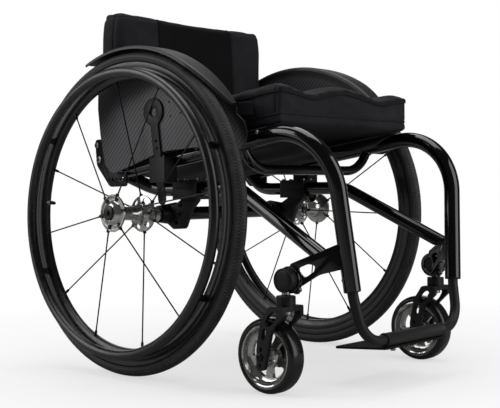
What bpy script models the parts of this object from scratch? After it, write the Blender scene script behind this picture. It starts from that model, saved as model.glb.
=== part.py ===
"""Rigid-frame active wheelchair, built piece by piece in metres.

+X is forward, +Y the sitter's left and +Z up. Points are measured from the floor under the middle of the rear
axle; the empty "chair" carries everything and moves it so that the origin lies under the middle of the chair.
Points are given for the left side and mirrored for the right; names end in _L and _R.
"""

import math

import bmesh
import bpy
from mathutils import Matrix, Vector

FIT = 0.0003  # gap left wherever two pieces touch
CUT_PAST = 0.01  # how far a cutter reaches past the wall it goes through

# Widths: the seat rails set the seat's width, and the wheels stand out from them
SEAT_HALF = 0.183
WHEEL_STANDOFF = 0.0724
WHEEL_TRACK_HALF = SEAT_HALF + WHEEL_STANDOFF

# Rear wheels, 24 in with a 25 mm tyre
WHEEL_RADIUS = 0.296
TYRE_WIDTH = 0.025
TYRE_LIFT = 0.0017  # height above the rim's edge at which the tyre's wall begins
TYRE_BEAD_HALF = 0.0083
RIM_EDGE_DROP = 0.0195  # from the tread down to the rim's edge
RIM_WELL_DEPTH = 0.006
RIM_SHOULDER_DROP = 0.0185
RIM_DEPTH = 0.0305
RIM_HALF_WIDTH = 0.0107
RIM_INNER_HALF = 0.006
CAMBER = math.radians(2)
VALVE_ANGLE = math.radians(175)
VALVE_LENGTH = 0.022
VALVE_RADIUS = 0.003

# Hand rims, tubes bolted outboard of the rims on six tabs
HAND_RIM_TUBE_RADIUS = 0.0091
HAND_RIM_DROP = 0.040  # from the tread down to the middle of the hand rim's tube
HAND_RIM_OFFSET = 0.032
TAB_WIDTH = 0.014
TAB_THICKNESS = 0.005
TAB_ANGLE = math.radians(26.5)

# Hubs and spokes
HUB_FLANGE_OFFSET = 0.0358
HUB_FLANGE_RADIUS = 0.034
HUB_FLANGE_HALF = 0.002
HUB_WAIST_RADIUS = 0.0125
HUB_CONE_RADIUS = 0.019
HUB_CONE_DEPTH = 0.0068
HUB_NECK_RADIUS = 0.017
HUB_LIP_RADIUS = 0.016
HUB_LIP_HEIGHT = 0.0037
HUB_NOSE_RADIUS = 0.0135
HUB_NOSE_LENGTH = 0.014
HUB_RELIEF_RADIUS = 0.0045
HUB_RELIEF_CIRCLE = 0.0255
SPOKE_COUNT = 6  # on each of a hub's two flanges
SPOKE_RADIUS = 0.0014
SPOKE_RIM_OFFSET = 0.003
SPOKE_ANGLE_R = math.radians(9.5)
SPOKE_ANGLE_L = math.radians(27.3)

# Quick-release axles and the receivers that hold them in the camber tube
AXLE_RADIUS = 0.00635
AXLE_HEAD_RADIUS = 0.015
AXLE_HEAD_THICKNESS = 0.006
AXLE_HEAD_CHAMFER = 0.001
AXLE_PAST_RECEIVER = 0.006
BUTTON_RADIUS = 0.0045
BUTTON_PROUD = 0.004
BUTTON_SOCKET_DEPTH = 0.005
BUTTON_TRAVEL = 0.003
RECEIVER_LENGTH = 0.069
RECEIVER_COLLAR_RADIUS = 0.014
RECEIVER_HUB_GAP = 0.0029
CAMBER_TUBE_RADIUS = 0.0127
CAMBER_TUBE_WALL = 0.0018
CAMBER_TUBE_HALF = SEAT_HALF + 0.0015
CAMBER_CROSSING = SEAT_HALF - 0.008  # where the cambered axle crosses the tube's own axis

# Seat rail and down tube, one bent tube on each side
RAIL_RADIUS = 0.0143
RAIL_WALL = 0.002
RAIL_REAR = Vector((-0.135, SEAT_HALF, 0.369))
RAIL_CORNER = Vector((0.4139, SEAT_HALF, 0.4448))
RAIL_FOOT = Vector((0.4333, SEAT_HALF - 0.0313, 0.1705))
RAIL_BEND = 0.11

# Lower rail on each side: from the seat rail down, level past the wheel, then down to the caster arm
LOWER_RADIUS = 0.0127
LOWER_WALL = 0.0018
LOWER_REAR_X = -0.105
LOWER_KNEE_X = -0.035
LOWER_HIP_X = 0.183
LOWER_Y = SEAT_HALF - 0.0305
LOWER_ABOVE_AXLE = 0.046
LOWER_END = Vector((0.410, SEAT_HALF + 0.0064, 0.2227))
LOWER_KNEE_BEND = 0.09
LOWER_HIP_BEND = 0.08

# Front casters
CASTER_RADIUS = 0.0625
CASTER_TRAIL = 0.0352
CASTER_HALF_WIDTH = 0.017
CASTER_TREAD_DEPTH = 0.0120
CASTER_SHOULDER_DROP = 0.0065
CASTER_CROWN_DROP = 0.0015
CASTER_RIM_HALF = 0.0145
CASTER_RIM_WALL = 0.003
CASTER_RIM_DRAFT = 0.001
CASTER_WEB_HALF = 0.004
CASTER_BOSS_RADIUS = 0.011
CASTER_BOSS_HALF = 0.0165
CASTER_BOSS_DRAFT = 0.002
CASTER_HOLE_RADIUS = 0.0085
CASTER_HOLE_CIRCLE = 0.029
CASTER_HOLES = 5
CASTER_AXLE_RADIUS = 0.004
CASTER_AXLE_HEAD_RADIUS = 0.0065
CASTER_AXLE_HEAD_HEIGHT = 0.003

# Forks; outline points are (forward of the stem, height), above the caster's axle or above the crown
STEM_X = 0.3515
STEM_Y = SEAT_HALF + 0.0383
STEM_RADIUS = 0.0065
STEM_HEAD_RADIUS = 0.009
STEM_HEAD_HEIGHT = 0.006
FORK_CLEARANCE = 0.0135  # between the caster and the crown above it
FORK_CROWN = 2 * CASTER_RADIUS + FORK_CLEARANCE
FORK_CUP_RADIUS = 0.016
FORK_CUP_TOP = FORK_CROWN + 0.0245
FORK_OUTER_HALF = 0.0265
FORK_SLOT_HALF = 0.0185
FORK_OUTLINE = [
    (-0.0430, CASTER_RADIUS - 0.0220, 0.0095),
    (-0.0230, CASTER_RADIUS - 0.0220, 0.0095),
    (-0.0100, FORK_CROWN - 0.0305, 0.020),
    (0.0150, FORK_CROWN - 0.0075, 0.005),
    (0.0150, FORK_CROWN + 0.0085, 0.002),
    (-0.0150, FORK_CROWN + 0.0085, 0.008),
    (-0.0335, FORK_CROWN - 0.0185, 0.030),
    (-0.0430, CASTER_RADIUS + 0.0125, 0.030),
]
FORK_LOW_WINDOW = (-0.0260, CASTER_RADIUS + 0.0385)
FORK_LOW_WINDOW_SIZE = (0.0085, 0.019)
FORK_LOW_WINDOW_LEAN = 0.2
FORK_HIGH_WINDOW = (-0.0105, FORK_CROWN - 0.0125)
FORK_HIGH_WINDOW_SIZE = (0.018, 0.024)
FORK_HIGH_WINDOW_LEAN = 0.6
FORK_SPARE_HOLES = [(-0.0330, CASTER_RADIUS + 0.0130), (-0.0343, CASTER_RADIUS - 0.0135)]
FORK_SPARE_RADIUS = 0.0028

# Caster housing, a short barrel across the chair with a domed outer end
HOUSING_Z = FORK_CUP_TOP + 0.025
HOUSING_RADIUS = 0.020
HOUSING_OVERHANG = 0.0080
HOUSING_DOME = 0.0015
HOUSING_DOME_POINTS = [(0.0, 1.0), (0.6, 0.75), (0.92, 0.4), (1.0, 0.0)]  # shares of the dome and the radius
SPIGOT_RADIUS = 0.014
STEM_TOP = HOUSING_Z + 0.010

# Caster arm: a flat forged arm that ends in a clamp ring round the caster housing's spigot
ARM_THICKNESS = 0.014
ARM_ROOT_LOW = 0.207
ARM_ROOT_TOP = 0.252
ARM_TIP_TOP = HOUSING_Z + 0.026
ARM_TIP_ROUND = 0.004
ARM_KNEE = (0.0487, 0.0085, 0.030)  # on the lower edge: before the tip, above the housing's axis, corner radius
ARM_WINDOW = [  # before the tip, above the housing's axis, corner radius
    (0.0240, 0.0030, 0.004),
    (0.0125, 0.0185, 0.004),
    (0.0300, 0.0258, 0.006),
    (0.0425, 0.0240, 0.004),
    (0.0390, 0.0135, 0.005),
]
CLAMP_OUTER = STEM_Y - STEM_RADIUS - 0.0005
CLAMP_INNER = CLAMP_OUTER - 0.009
CLAMP_RADIUS = 0.0225

# Axle bracket: a tapered sleeve on the camber tube with an arm up to a split saddle on the lower rail
SLEEVE_INNER = SEAT_HALF - 0.048
SLEEVE_OUTER = SEAT_HALF - 0.001
SLEEVE_INNER_RADIUS = 0.022
SLEEVE_OUTER_RADIUS = 0.016
BRACKET_ARM_INNER = LOWER_Y - 0.0065
BRACKET_ARM_OUTER = LOWER_Y + 0.0075
BRACKET_ARM = [  # forward of the axle, above the camber tube, corner radius
    (-0.004, 0.015, 0.006),
    (0.022, 0.017, 0.010),
    (0.044, 0.029, 0.003),
    (0.084, 0.029, 0.003),
    (0.060, 0.007, 0.020),
    (0.042, -0.028, 0.008),
    (0.018, -0.029, 0.008),
    (-0.004, -0.015, 0.006),
]
BRACKET_HOLE = (0.027, -0.016)
BRACKET_HOLE_RADIUS = 0.0042
SADDLE_REAR = 0.028
SADDLE_FRONT = 0.092
SADDLE_HALF_WIDTH = 0.0175
SADDLE_DEPTH = 0.019
SADDLE_CAP_HEIGHT = 0.0175

# Front cross brace between the seat rails
BRACE_X = 0.22
BRACE_DROP = 0.0463
BRACE_RADIUS = 0.009
BRACE_WALL = 0.0015
BRACE_KNEE_Y = SEAT_HALF - 0.020
BRACE_KNEE_BEND = 0.075

# Footrest: a bent tube in bushes, a rubber sleeve and a flat plate
FOOT_TUBE_RADIUS = 0.009
FOOT_TUBE_WALL = 0.0015
FOOT_TUBE_INSERTION = 0.055
FOOT_BUSH_LENGTH = 0.03
FOOT_KINK_DROP = 0.010
FOOT_X = 0.448
FOOT_Z = 0.084
FOOT_CORNER_Y = SEAT_HALF - 0.0416
FOOT_BEND = 0.05
FOOT_SLEEVE_RADIUS = 0.0115
FOOT_SLEEVE_GAP = 0.0044  # from the sleeve's end to the start of the bend
PLATE_BEHIND = 0.104
PLATE_AHEAD = 0.0075
PLATE_HALF_WIDTH = 0.092
PLATE_THICKNESS = 0.004
PLATE_TILT = math.radians(4)
PLATE_REAR_CORNER = 0.010
PLATE_FRONT_CORNER = 0.005

# Seat sling, parallel to the seat rails
SLING_THICKNESS = 0.0025
SLING_REAR = -0.105
SLING_FRONT = 0.285
SLING_LEAVE = math.radians(24)  # how far down its inner side the cloth leaves each rail
SLING_WRAP = math.radians(40)  # how far the cloth goes round each rail beyond its top

# Cushion: foam in a cover, with a channel for each thigh and a low ridge between them
CUSHION_REAR = -0.040
CUSHION_FRONT = 0.3195
CUSHION_HALF_WIDTH = SEAT_HALF + 0.009
CUSHION_THICKNESS = 0.0665
CUSHION_CROWN = 0.0035
CUSHION_CHANNEL = 0.0125
CUSHION_CHANNEL_Y = 0.098
CUSHION_CHANNEL_WIDTH = 0.045
CUSHION_CHANNEL_REAR_SHARE = 0.35  # the channels' depth at the back, as a share of that in front
CUSHION_SIDE_DRAW = 0.003
CUSHION_EDGE = 0.010
CUSHION_EDGE_BAND = 0.07  # share of the half width over which the top rolls down to the side
CUSHION_WAIST = 0.45  # share of the thickness at which the sides are drawn in
CUSHION_ROLL = 0.6  # share of the edge's radius by which ends and lower edge are drawn in

# Folding back: bracket, hinge, canes and the bar between them
PIVOT_X = -0.148
PIVOT_Z = 0.400
PIVOT_BOLT_RADIUS = 0.004
PIVOT_HEAD_RADIUS = 0.0075
PIVOT_HEAD_HEIGHT = 0.0035
CANE_RADIUS = 0.011
CANE_Y = SEAT_HALF + 0.002
CANE_X = -0.1205
CANE_TOP = 0.668
HINGE_RADIUS = 0.012
HINGE_WALL = 0.0035
HINGE_STEP = 0.002  # how far the hinge's underside stands above the pivot in front of it
HINGE_TOP = 0.448
HINGE_FLOOR = 0.008  # from the pivot up to the bottom of the cane's bore
BRACKET_THICKNESS = 0.004
BACK_BRACKET = [  # forward, height, corner radius
    (-0.158, 0.389, 0.020),
    (-0.118, 0.346, 0.012),
    (-0.068, 0.3465, 0.005),
    (-0.068, 0.372, 0.005),
    (-0.120, 0.376, 0.012),
    (-0.128, 0.440, 0.006),
    (-0.162, 0.440, 0.006),
]
BRACKET_HOLES = 5
BRACKET_HOLES_START = (-0.1205, 0.361)
BRACKET_HOLES_PITCH = 0.0115
BRACKET_HOLES_RADIUS = 0.0022
BAR_RADIUS = 0.0095
BAR_Z = 0.500

# Back upholstery: a padded cover hung over the canes, with a flap round each
BACK_LOW = 0.456
BACK_HIGH = 0.687
BACK_FRONT_LOW = -0.066
BACK_FRONT_HIGH = -0.079
BACK_HOLLOW = 0.012
BACK_HOLLOW_TOP = 0.35  # how far up its wave the hollow is at the upper edge
BACK_HALF_LOW = CANE_Y + 0.0165
BACK_HALF_BULGE = CANE_Y + 0.0222
BACK_HALF_HIGH = CANE_Y + 0.015
BACK_BULGE_Z = 0.635
BACK_FLAP_OVERLAP = 0.014  # how far the flap reaches behind the cane's axis
BACK_SEAM_Y = 0.1055
BACK_EDGE = [(0.004, 0.014), (0.010, 0.004), (0.018, 0.0)]  # the front corner: back from the face, in from the side
BACK_FACE_FALL = 0.0015
BACK_FLAP_ROUND = 0.002

# Side guards, each on a blade that drops into a socket on the seat rail
GUARD_INNER = SEAT_HALF + 0.0275
GUARD_THICKNESS = 0.003
GUARD_CLEARANCE = 0.010  # between the tread and the top of the guard
GUARD_RADIUS = WHEEL_RADIUS + GUARD_CLEARANCE
FENDER_WIDTH = 0.050
FENDER_LIP = 0.006
FENDER_START = math.radians(112)
FENDER_END = math.radians(58)
FENDER_NOSE = math.radians(37)
FENDER_TAPER = 0.35  # power by which the width falls away from FENDER_END to FENDER_NOSE
GUARD_NOSE = [  # the rounded front lobe, from the front end of the fender
    (-0.0064, -0.0135),
    (0.0116, -0.0280),
    (0.0176, -0.0460),
    (0.0151, -0.0610),
    (0.0076, -0.0710),
    (-0.0084, -0.0750),
]
GUARD_HEM = [  # along the bottom and up the back edge
    (0.138, 0.4125),
    (0.059, 0.409),
    (0.023, 0.402),
    (-0.0521, 0.3815),
    (-0.0893, 0.3716),
    (-0.0990, 0.3735),
    (-0.1165, 0.3885),
    (-0.1300, 0.446),
    (-0.1365, 0.497),
    (-0.1350, 0.540),
]
MOUNT_THICKNESS = 0.0032
MOUNT_DISC = Vector((0.028, 0.0, 0.482))
MOUNT_DISC_RADIUS = 0.026
MOUNT_HOLE_RADIUS = 0.009
BLADE_FOOT = Vector((0.0495, 0.0, 0.3205))
BLADE_WIDTH = 0.020
SOCKET_REAR = 0.0195
SOCKET_FRONT = 0.0605
SOCKET_LOW = 0.352
SOCKET_TOP = 0.398
SOCKET_INNER = SEAT_HALF + 0.005
SOCKET_WALL = 0.002

# How finely round shapes are drawn
TUBE_SIDES = 12
WHEEL_SIDES = 36
TYRE_STEPS = 6
HOOP_SIDES = 6
CASTER_SIDES = 24
SPOKE_SIDES = 4
RAIL_STEPS = 5
LOWER_STEPS = 3
BRACE_STEPS = 3
FOOT_STEPS = 3
CORNER_STEPS = 2
FENDER_STEPS = 14
WRAP_STEPS = 4
HANG_STEPS = 8
CUSHION_STEPS = (10, 18)
BACK_LEVELS = 8
BLADE_STEPS = 6
DISC_STEPS = 18
SMOOTH_ANGLE = math.radians(34)

SIDES = ((-1, "R"), (1, "L"))
UP = Vector((0, 0, 1))


def inscribed(radius, sides):
    """The radius left free inside a round hole that is drawn with this many sides."""
    return radius * math.cos(math.pi / sides)


def rail_height(x):
    """Height of the seat rail's axis where the rail is straight."""
    along = (x - RAIL_REAR.x) / (RAIL_CORNER.x - RAIL_REAR.x)
    return RAIL_REAR.z + along * (RAIL_CORNER.z - RAIL_REAR.z)


def down_tube_point(z):
    """The point of the down tube's axis at height z."""
    return RAIL_FOOT.lerp(RAIL_CORNER, (z - RAIL_FOOT.z) / (RAIL_CORNER.z - RAIL_FOOT.z))


# Sizes that follow from those above
wheel_centre_radius = WHEEL_RADIUS - TYRE_WIDTH / 2
axle_height = wheel_centre_radius * math.cos(CAMBER) + TYRE_WIDTH / 2
camber_tube_height = axle_height - (WHEEL_TRACK_HALF - CAMBER_CROSSING) * math.tan(CAMBER)
rim_edge = WHEEL_RADIUS - RIM_EDGE_DROP
rim_bed = rim_edge - RIM_WELL_DEPTH
rim_shoulder = rim_edge - RIM_SHOULDER_DROP
rim_inner = rim_edge - RIM_DEPTH
hand_rim_radius = WHEEL_RADIUS - HAND_RIM_DROP
hub_flange_in = HUB_FLANGE_OFFSET - HUB_FLANGE_HALF
hub_flange_out = HUB_FLANGE_OFFSET + HUB_FLANGE_HALF
hub_face = hub_flange_out + HUB_LIP_HEIGHT
hub_nose = hub_face + HUB_NOSE_LENGTH
axle_head_start = hub_face + FIT
axle_head_end = axle_head_start + AXLE_HEAD_THICKNESS
receiver_end = WHEEL_TRACK_HALF - hub_nose - RECEIVER_HUB_GAP
receiver_start = receiver_end - RECEIVER_LENGTH
lower_z = camber_tube_height + LOWER_ABOVE_AXLE
caster_rim_radius = CASTER_RADIUS - CASTER_TREAD_DEPTH
bracket_inner = SEAT_HALF + RAIL_RADIUS + FIT
bracket_outer = bracket_inner + BRACKET_THICKNESS
hinge_inner = CANE_Y - CANE_RADIUS - HINGE_WALL
hinge_outer = bracket_inner - FIT
bar_to_cane = CANE_RADIUS + FIT
foot_sleeve_half = FOOT_CORNER_Y - FOOT_BEND - FOOT_SLEEVE_GAP
foot_bore_radius = inscribed(RAIL_RADIUS - RAIL_WALL, TUBE_SIDES)
cushion_seat = RAIL_RADIUS + SLING_THICKNESS + 3 * FIT
guard_outer = GUARD_INNER + GUARD_THICKNESS
blade_inner = guard_outer + FIT
blade_outer = blade_inner + MOUNT_THICKNESS
blade_line = (MOUNT_DISC - BLADE_FOOT).normalized()
blade_across = Vector((blade_line.z, 0, -blade_line.x))
foremost = FOOT_X + inscribed(FOOT_SLEEVE_RADIUS, TUBE_SIDES)
middle = (foremost - WHEEL_RADIUS) / 2


def mirrored(point, side):
    """The point on the left (side 1) or on the right (side -1)."""
    return Vector((point[0], side * point[1], point[2]))


def facing(origin, axis):
    """A frame at origin whose Z runs along axis."""
    return Matrix.Translation(origin) @ Vector(axis).to_track_quat("Z", "Y").to_matrix().to_4x4()


def bend(corners, radii, steps, closed=False):
    """The points of a line through corners, with a round bend at each one that has a radius."""
    points = []
    count = len(corners)
    for index, corner in enumerate(corners):
        here = Vector(corner)
        if radii[index] == 0 or (not closed and index in (0, count - 1)):
            points.append(here)
            continue
        before = (here - Vector(corners[index - 1])).normalized()
        after = (Vector(corners[(index + 1) % count]) - here).normalized()
        angle = before.angle(after)
        inward = (after - before * before.dot(after)).normalized()
        start = here - before * radii[index] * math.tan(angle / 2)
        for step in range(steps + 1):
            turn = angle * step / steps
            points.append(start + radii[index] * (before * math.sin(turn) + inward * (1 - math.cos(turn))))
    return points


def rounded(outline):
    """A flat outline from (u, v, corner radius) points."""
    corners = [Vector((u, v, 0)) for u, v, radius in outline]
    radii = [radius for u, v, radius in outline]
    return [(point.x, point.y) for point in bend(corners, radii, CORNER_STEPS, closed=True)]


def circle(centre, radius, sides):
    """A round outline about centre."""
    return [
        (centre[0] + radius * math.cos(math.tau * k / sides), centre[1] + radius * math.sin(math.tau * k / sides))
        for k in range(sides)
    ]


def oblong(centre, size, lean):
    """An upright outline with round ends, its top leaning forward by lean."""
    radius = size[0] / 2
    straight = size[1] / 2 - radius
    steps = 3
    points = []
    for end in (1, -1):
        for step in range(steps + 1):
            turn = math.pi * step / steps
            high = end * (straight + radius * math.sin(turn))
            points.append((centre[0] + end * radius * math.cos(turn) + lean * high, centre[1] + high))
    return points


def skin(rings, loop_closed=False):
    """A solid from rings of points, each joined to the next; an open row of rings gets flat ends."""
    shape = bmesh.new()
    rows = [[shape.verts.new(point) for point in ring] for ring in rings]
    count = len(rows)
    for index in range(count if loop_closed else count - 1):
        here = rows[index]
        there = rows[(index + 1) % count]
        for k in range(len(here)):
            n = (k + 1) % len(here)
            shape.faces.new((here[k], here[n], there[n], there[k]))
    if not loop_closed:
        shape.faces.new(list(reversed(rows[0])))
        shape.faces.new(rows[-1])
    bmesh.ops.recalc_face_normals(shape, faces=shape.faces)
    return shape


def ring_round(centre, axes, radius, sides):
    """Points round centre in the plane of the two axes."""
    one, two = axes
    return [
        centre + radius * (one * math.cos(math.tau * k / sides) + two * math.sin(math.tau * k / sides))
        for k in range(sides)
    ]


def sweep(points, radius, wall=0.0, sides=TUBE_SIDES):
    """A round bar along the points or, with a wall thickness, an open pipe."""
    last = len(points) - 1
    tangents = [
        (points[min(index + 1, last)] - points[max(index - 1, 0)]).normalized() for index in range(last + 1)
    ]
    across = tangents[0].orthogonal().normalized()
    axes = []
    for index, tangent in enumerate(tangents):
        if index:
            across = tangents[index - 1].rotation_difference(tangent) @ across
        axes.append((across, tangent.cross(across)))
    outside = [ring_round(point, pair, radius, sides) for point, pair in zip(points, axes)]
    if not wall:
        return skin(outside)
    inside = [ring_round(point, pair, radius - wall, sides) for point, pair in zip(points, axes)]
    return skin(outside + inside[::-1], loop_closed=True)


def lathe(profile, frame, sides, bored=False):
    """Turns (height, radius) points round the frame's Z. A bored profile is a loop, any other ends on the axis."""
    shape = bmesh.new()
    axes = (Vector((1, 0, 0)), Vector((0, 1, 0)))
    rows = []
    for height, radius in profile:
        if radius == 0:
            rows.append([shape.verts.new(frame @ (UP * height))] * sides)
        else:
            rows.append([shape.verts.new(frame @ point) for point in ring_round(UP * height, axes, radius, sides)])
    count = len(rows)
    for index in range(count if bored else count - 1):
        here = rows[index]
        there = rows[(index + 1) % count]
        for k in range(sides):
            n = (k + 1) % sides
            corners = dict.fromkeys((here[k], here[n], there[n], there[k]))
            shape.faces.new(list(corners))
    bmesh.ops.recalc_face_normals(shape, faces=shape.faces)
    return shape


def rod(start, end, radius, sides=TUBE_SIDES):
    """A solid cylinder between two points."""
    return sweep([Vector(start), Vector(end)], radius, sides=sides)


def slab(outline, inner, outer, side=1):
    """An (x, z) outline with thickness across the chair, from inner to outer on one side."""
    return skin([[Vector((x, side * y, z)) for x, z in outline] for y in (inner, outer)])


def block(low, high, side=1):
    """A box between two corners given on the left and mirrored to the side."""
    outline = [(low[0], low[2]), (high[0], low[2]), (high[0], high[2]), (low[0], high[2])]
    return slab(outline, low[1], high[1], side)


def together(shapes):
    """One tool for the Boolean out of several separate shapes."""
    whole = bmesh.new()
    for shape in shapes:
        mesh = bpy.data.meshes.new("tool")
        shape.to_mesh(mesh)
        whole.from_mesh(mesh)
        bpy.data.meshes.remove(mesh)
        shape.free()
    return whole


def combine(shape, tool, operation):
    """The Boolean of two shapes as a new shape."""
    holders = []
    for source in (shape, tool):
        mesh = bpy.data.meshes.new("operand")
        source.to_mesh(mesh)
        source.free()
        holder = bpy.data.objects.new("operand", mesh)
        bpy.context.scene.collection.objects.link(holder)
        holders.append(holder)
    base, cutter = holders
    modifier = base.modifiers.new("Boolean", "BOOLEAN")
    modifier.operation = operation
    modifier.solver = "EXACT"
    modifier.object = cutter
    evaluated = base.evaluated_get(bpy.context.evaluated_depsgraph_get())
    result = bmesh.new()
    result.from_mesh(evaluated.to_mesh())
    evaluated.to_mesh_clear()
    for holder in holders:
        mesh = holder.data
        bpy.data.objects.remove(holder)
        bpy.data.meshes.remove(mesh)
    return result


def cut(shape, *tools):
    for tool in tools:
        shape = combine(shape, tool, "DIFFERENCE")
    return shape


def fuse(shape, *tools):
    for tool in tools:
        shape = combine(shape, tool, "UNION")
    return shape


def rail_room(side):
    """The room that a piece round the seat rail leaves for it."""
    return rod(mirrored(RAIL_REAR, side), mirrored(RAIL_CORNER, side), RAIL_RADIUS + FIT, sides=2 * TUBE_SIDES)


def seat_rail(side):
    corners = [mirrored(point, side) for point in (RAIL_REAR, RAIL_CORNER, RAIL_FOOT)]
    return sweep(bend(corners, [0, RAIL_BEND, 0], RAIL_STEPS), RAIL_RADIUS, RAIL_WALL)


def arm_plan():
    """Where the arm's middle line starts on the down tube, its direction, its outer side and its length."""
    root = down_tube_point((ARM_ROOT_LOW + ARM_ROOT_TOP) / 2)
    root.z = 0
    tip = Vector((STEM_X, (CLAMP_INNER + CLAMP_OUTER) / 2, 0))
    along = (tip - root).normalized()
    return root, along, along.cross(UP), (tip - root).length


def arm_slab(outline, half_thickness, side):
    """A (distance from the down tube, height) outline with thickness across the caster arm."""
    root, along, across, _ = arm_plan()
    return skin(
        [
            [mirrored(root + along * u + across * shift + UP * z, side) for u, z in outline]
            for shift in (-half_thickness, half_thickness)
        ]
    )


def lower_rail(side):
    """The lower rail, notched round the seat rail and cut off above the caster arm."""
    corners = [
        (LOWER_REAR_X, SEAT_HALF, rail_height(LOWER_REAR_X)),
        (LOWER_KNEE_X, LOWER_Y, lower_z),
        (LOWER_HIP_X, LOWER_Y, lower_z),
        LOWER_END,
    ]
    path = bend([mirrored(point, side) for point in corners], [0, LOWER_KNEE_BEND, LOWER_HIP_BEND, 0], LOWER_STEPS)
    length = arm_plan()[3]
    slope = (ARM_ROOT_TOP - ARM_TIP_TOP) / length
    seat_cut = [
        (-LOWER_RADIUS, ARM_ROOT_TOP + FIT + LOWER_RADIUS * slope),
        (length, ARM_TIP_TOP + FIT),
        (length, HOUSING_Z - CLAMP_RADIUS),
        (-LOWER_RADIUS, HOUSING_Z - CLAMP_RADIUS),
    ]
    return cut(
        sweep(path, LOWER_RADIUS, LOWER_WALL),
        rail_room(side),
        arm_slab(seat_cut, 2 * ARM_THICKNESS, side),
    )


def caster_arm(side):
    """The forged arm, fused with its clamp ring, hollowed round the down tube and flush with the ring's outer face."""
    length = arm_plan()[3]
    outline = [
        (0, ARM_ROOT_LOW, 0),
        (0, ARM_ROOT_TOP, 0),
        (length, ARM_TIP_TOP, ARM_TIP_ROUND),
        (length, HOUSING_Z - CLAMP_RADIUS, ARM_TIP_ROUND),
        (length - ARM_KNEE[0], HOUSING_Z + ARM_KNEE[1], ARM_KNEE[2]),
    ]
    window = [(length - before_tip, HOUSING_Z + above, radius) for before_tip, above, radius in ARM_WINDOW]
    ring_start = Vector((STEM_X, side * CLAMP_INNER, HOUSING_Z))
    ring_end = Vector((STEM_X, side * CLAMP_OUTER, HOUSING_Z))
    past = Vector((0, side * CUT_PAST, 0))
    tube_low = mirrored(RAIL_FOOT, side)
    tube_high = mirrored(down_tube_point(ARM_ROOT_TOP + 2 * RAIL_RADIUS), side)
    arm = cut(arm_slab(rounded(outline), ARM_THICKNESS / 2, side), arm_slab(rounded(window), ARM_THICKNESS, side))
    return cut(
        fuse(arm, rod(ring_start, ring_end, CLAMP_RADIUS, sides=24)),
        block((0, CLAMP_OUTER, 0), (RAIL_FOOT.x, CLAMP_OUTER + CUT_PAST, RAIL_CORNER.z), side),
        rod(ring_start - past, ring_end + past, SPIGOT_RADIUS + FIT, sides=24),
        rod(tube_low, tube_high, RAIL_RADIUS + FIT, sides=24),
    )


def cross_brace():
    """The bent brace, notched round both seat rails."""
    top = rail_height(BRACE_X)
    corners = [
        Vector((BRACE_X, -SEAT_HALF, top)),
        Vector((BRACE_X, -BRACE_KNEE_Y, top - BRACE_DROP)),
        Vector((BRACE_X, BRACE_KNEE_Y, top - BRACE_DROP)),
        Vector((BRACE_X, SEAT_HALF, top)),
    ]
    path = bend(corners, [0, BRACE_KNEE_BEND, BRACE_KNEE_BEND, 0], BRACE_STEPS)
    return cut(sweep(path, BRACE_RADIUS, BRACE_WALL, sides=8), rail_room(-1), rail_room(1))


def camber_tube():
    ends = [Vector((0, side * CAMBER_TUBE_HALF, camber_tube_height)) for side in (-1, 1)]
    return sweep(ends, CAMBER_TUBE_RADIUS, CAMBER_TUBE_WALL, sides=20)


def lower_rail_room(side):
    start = (LOWER_KNEE_X, side * LOWER_Y, lower_z)
    end = (LOWER_HIP_X, side * LOWER_Y, lower_z)
    return rod(start, end, LOWER_RADIUS + FIT, sides=24)


def axle_bracket(side):
    """Sleeve, arm and lower half of the saddle in one casting."""
    sleeve = lathe(
        [
            (SLEEVE_INNER, 0),
            (SLEEVE_INNER, SLEEVE_INNER_RADIUS),
            (SLEEVE_OUTER, SLEEVE_OUTER_RADIUS),
            (SLEEVE_OUTER, 0),
        ],
        facing((0, 0, camber_tube_height), (0, side, 0)),
        20,
    )
    outline = [(x, camber_tube_height + above, radius) for x, above, radius in BRACKET_ARM]
    arm = slab(rounded(outline), BRACKET_ARM_INNER, BRACKET_ARM_OUTER, side)
    saddle = block(
        (SADDLE_REAR, LOWER_Y - SADDLE_HALF_WIDTH, lower_z - SADDLE_DEPTH),
        (SADDLE_FRONT, LOWER_Y + SADDLE_HALF_WIDTH, lower_z - FIT / 2),
        side,
    )
    bore_start = (0, side * (SLEEVE_INNER - CUT_PAST), camber_tube_height)
    bore_end = (0, side * (SLEEVE_OUTER + CUT_PAST), camber_tube_height)
    hole_centre = (BRACKET_HOLE[0], camber_tube_height + BRACKET_HOLE[1])
    return cut(
        fuse(sleeve, arm, saddle),
        rod(bore_start, bore_end, CAMBER_TUBE_RADIUS + FIT, sides=20),
        lower_rail_room(side),
        slab(circle(hole_centre, BRACKET_HOLE_RADIUS, 10), SLEEVE_INNER - CUT_PAST, SLEEVE_OUTER + CUT_PAST, side),
    )


def saddle_cap(side):
    cap = block(
        (SADDLE_REAR, LOWER_Y - SADDLE_HALF_WIDTH, lower_z + FIT / 2),
        (SADDLE_FRONT, LOWER_Y + SADDLE_HALF_WIDTH, lower_z + SADDLE_CAP_HEIGHT),
        side,
    )
    return cut(cap, lower_rail_room(side))


def axle_receiver(side, wheel_middle, axle_line):
    """The turned insert in the camber tube's end, bored at the camber angle."""
    body_radius = CAMBER_TUBE_RADIUS - CAMBER_TUBE_WALL - FIT
    shoulder = CAMBER_TUBE_HALF + FIT
    receiver = lathe(
        [
            (receiver_start, 0),
            (receiver_start, body_radius),
            (shoulder, body_radius),
            (shoulder, RECEIVER_COLLAR_RADIUS),
            (receiver_end, RECEIVER_COLLAR_RADIUS),
            (receiver_end, 0),
        ],
        facing((0, 0, camber_tube_height), (0, side, 0)),
        20,
    )
    bore = rod(wheel_middle - axle_line * WHEEL_TRACK_HALF, wheel_middle, AXLE_RADIUS + FIT, sides=16)
    return cut(receiver, bore)


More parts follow.
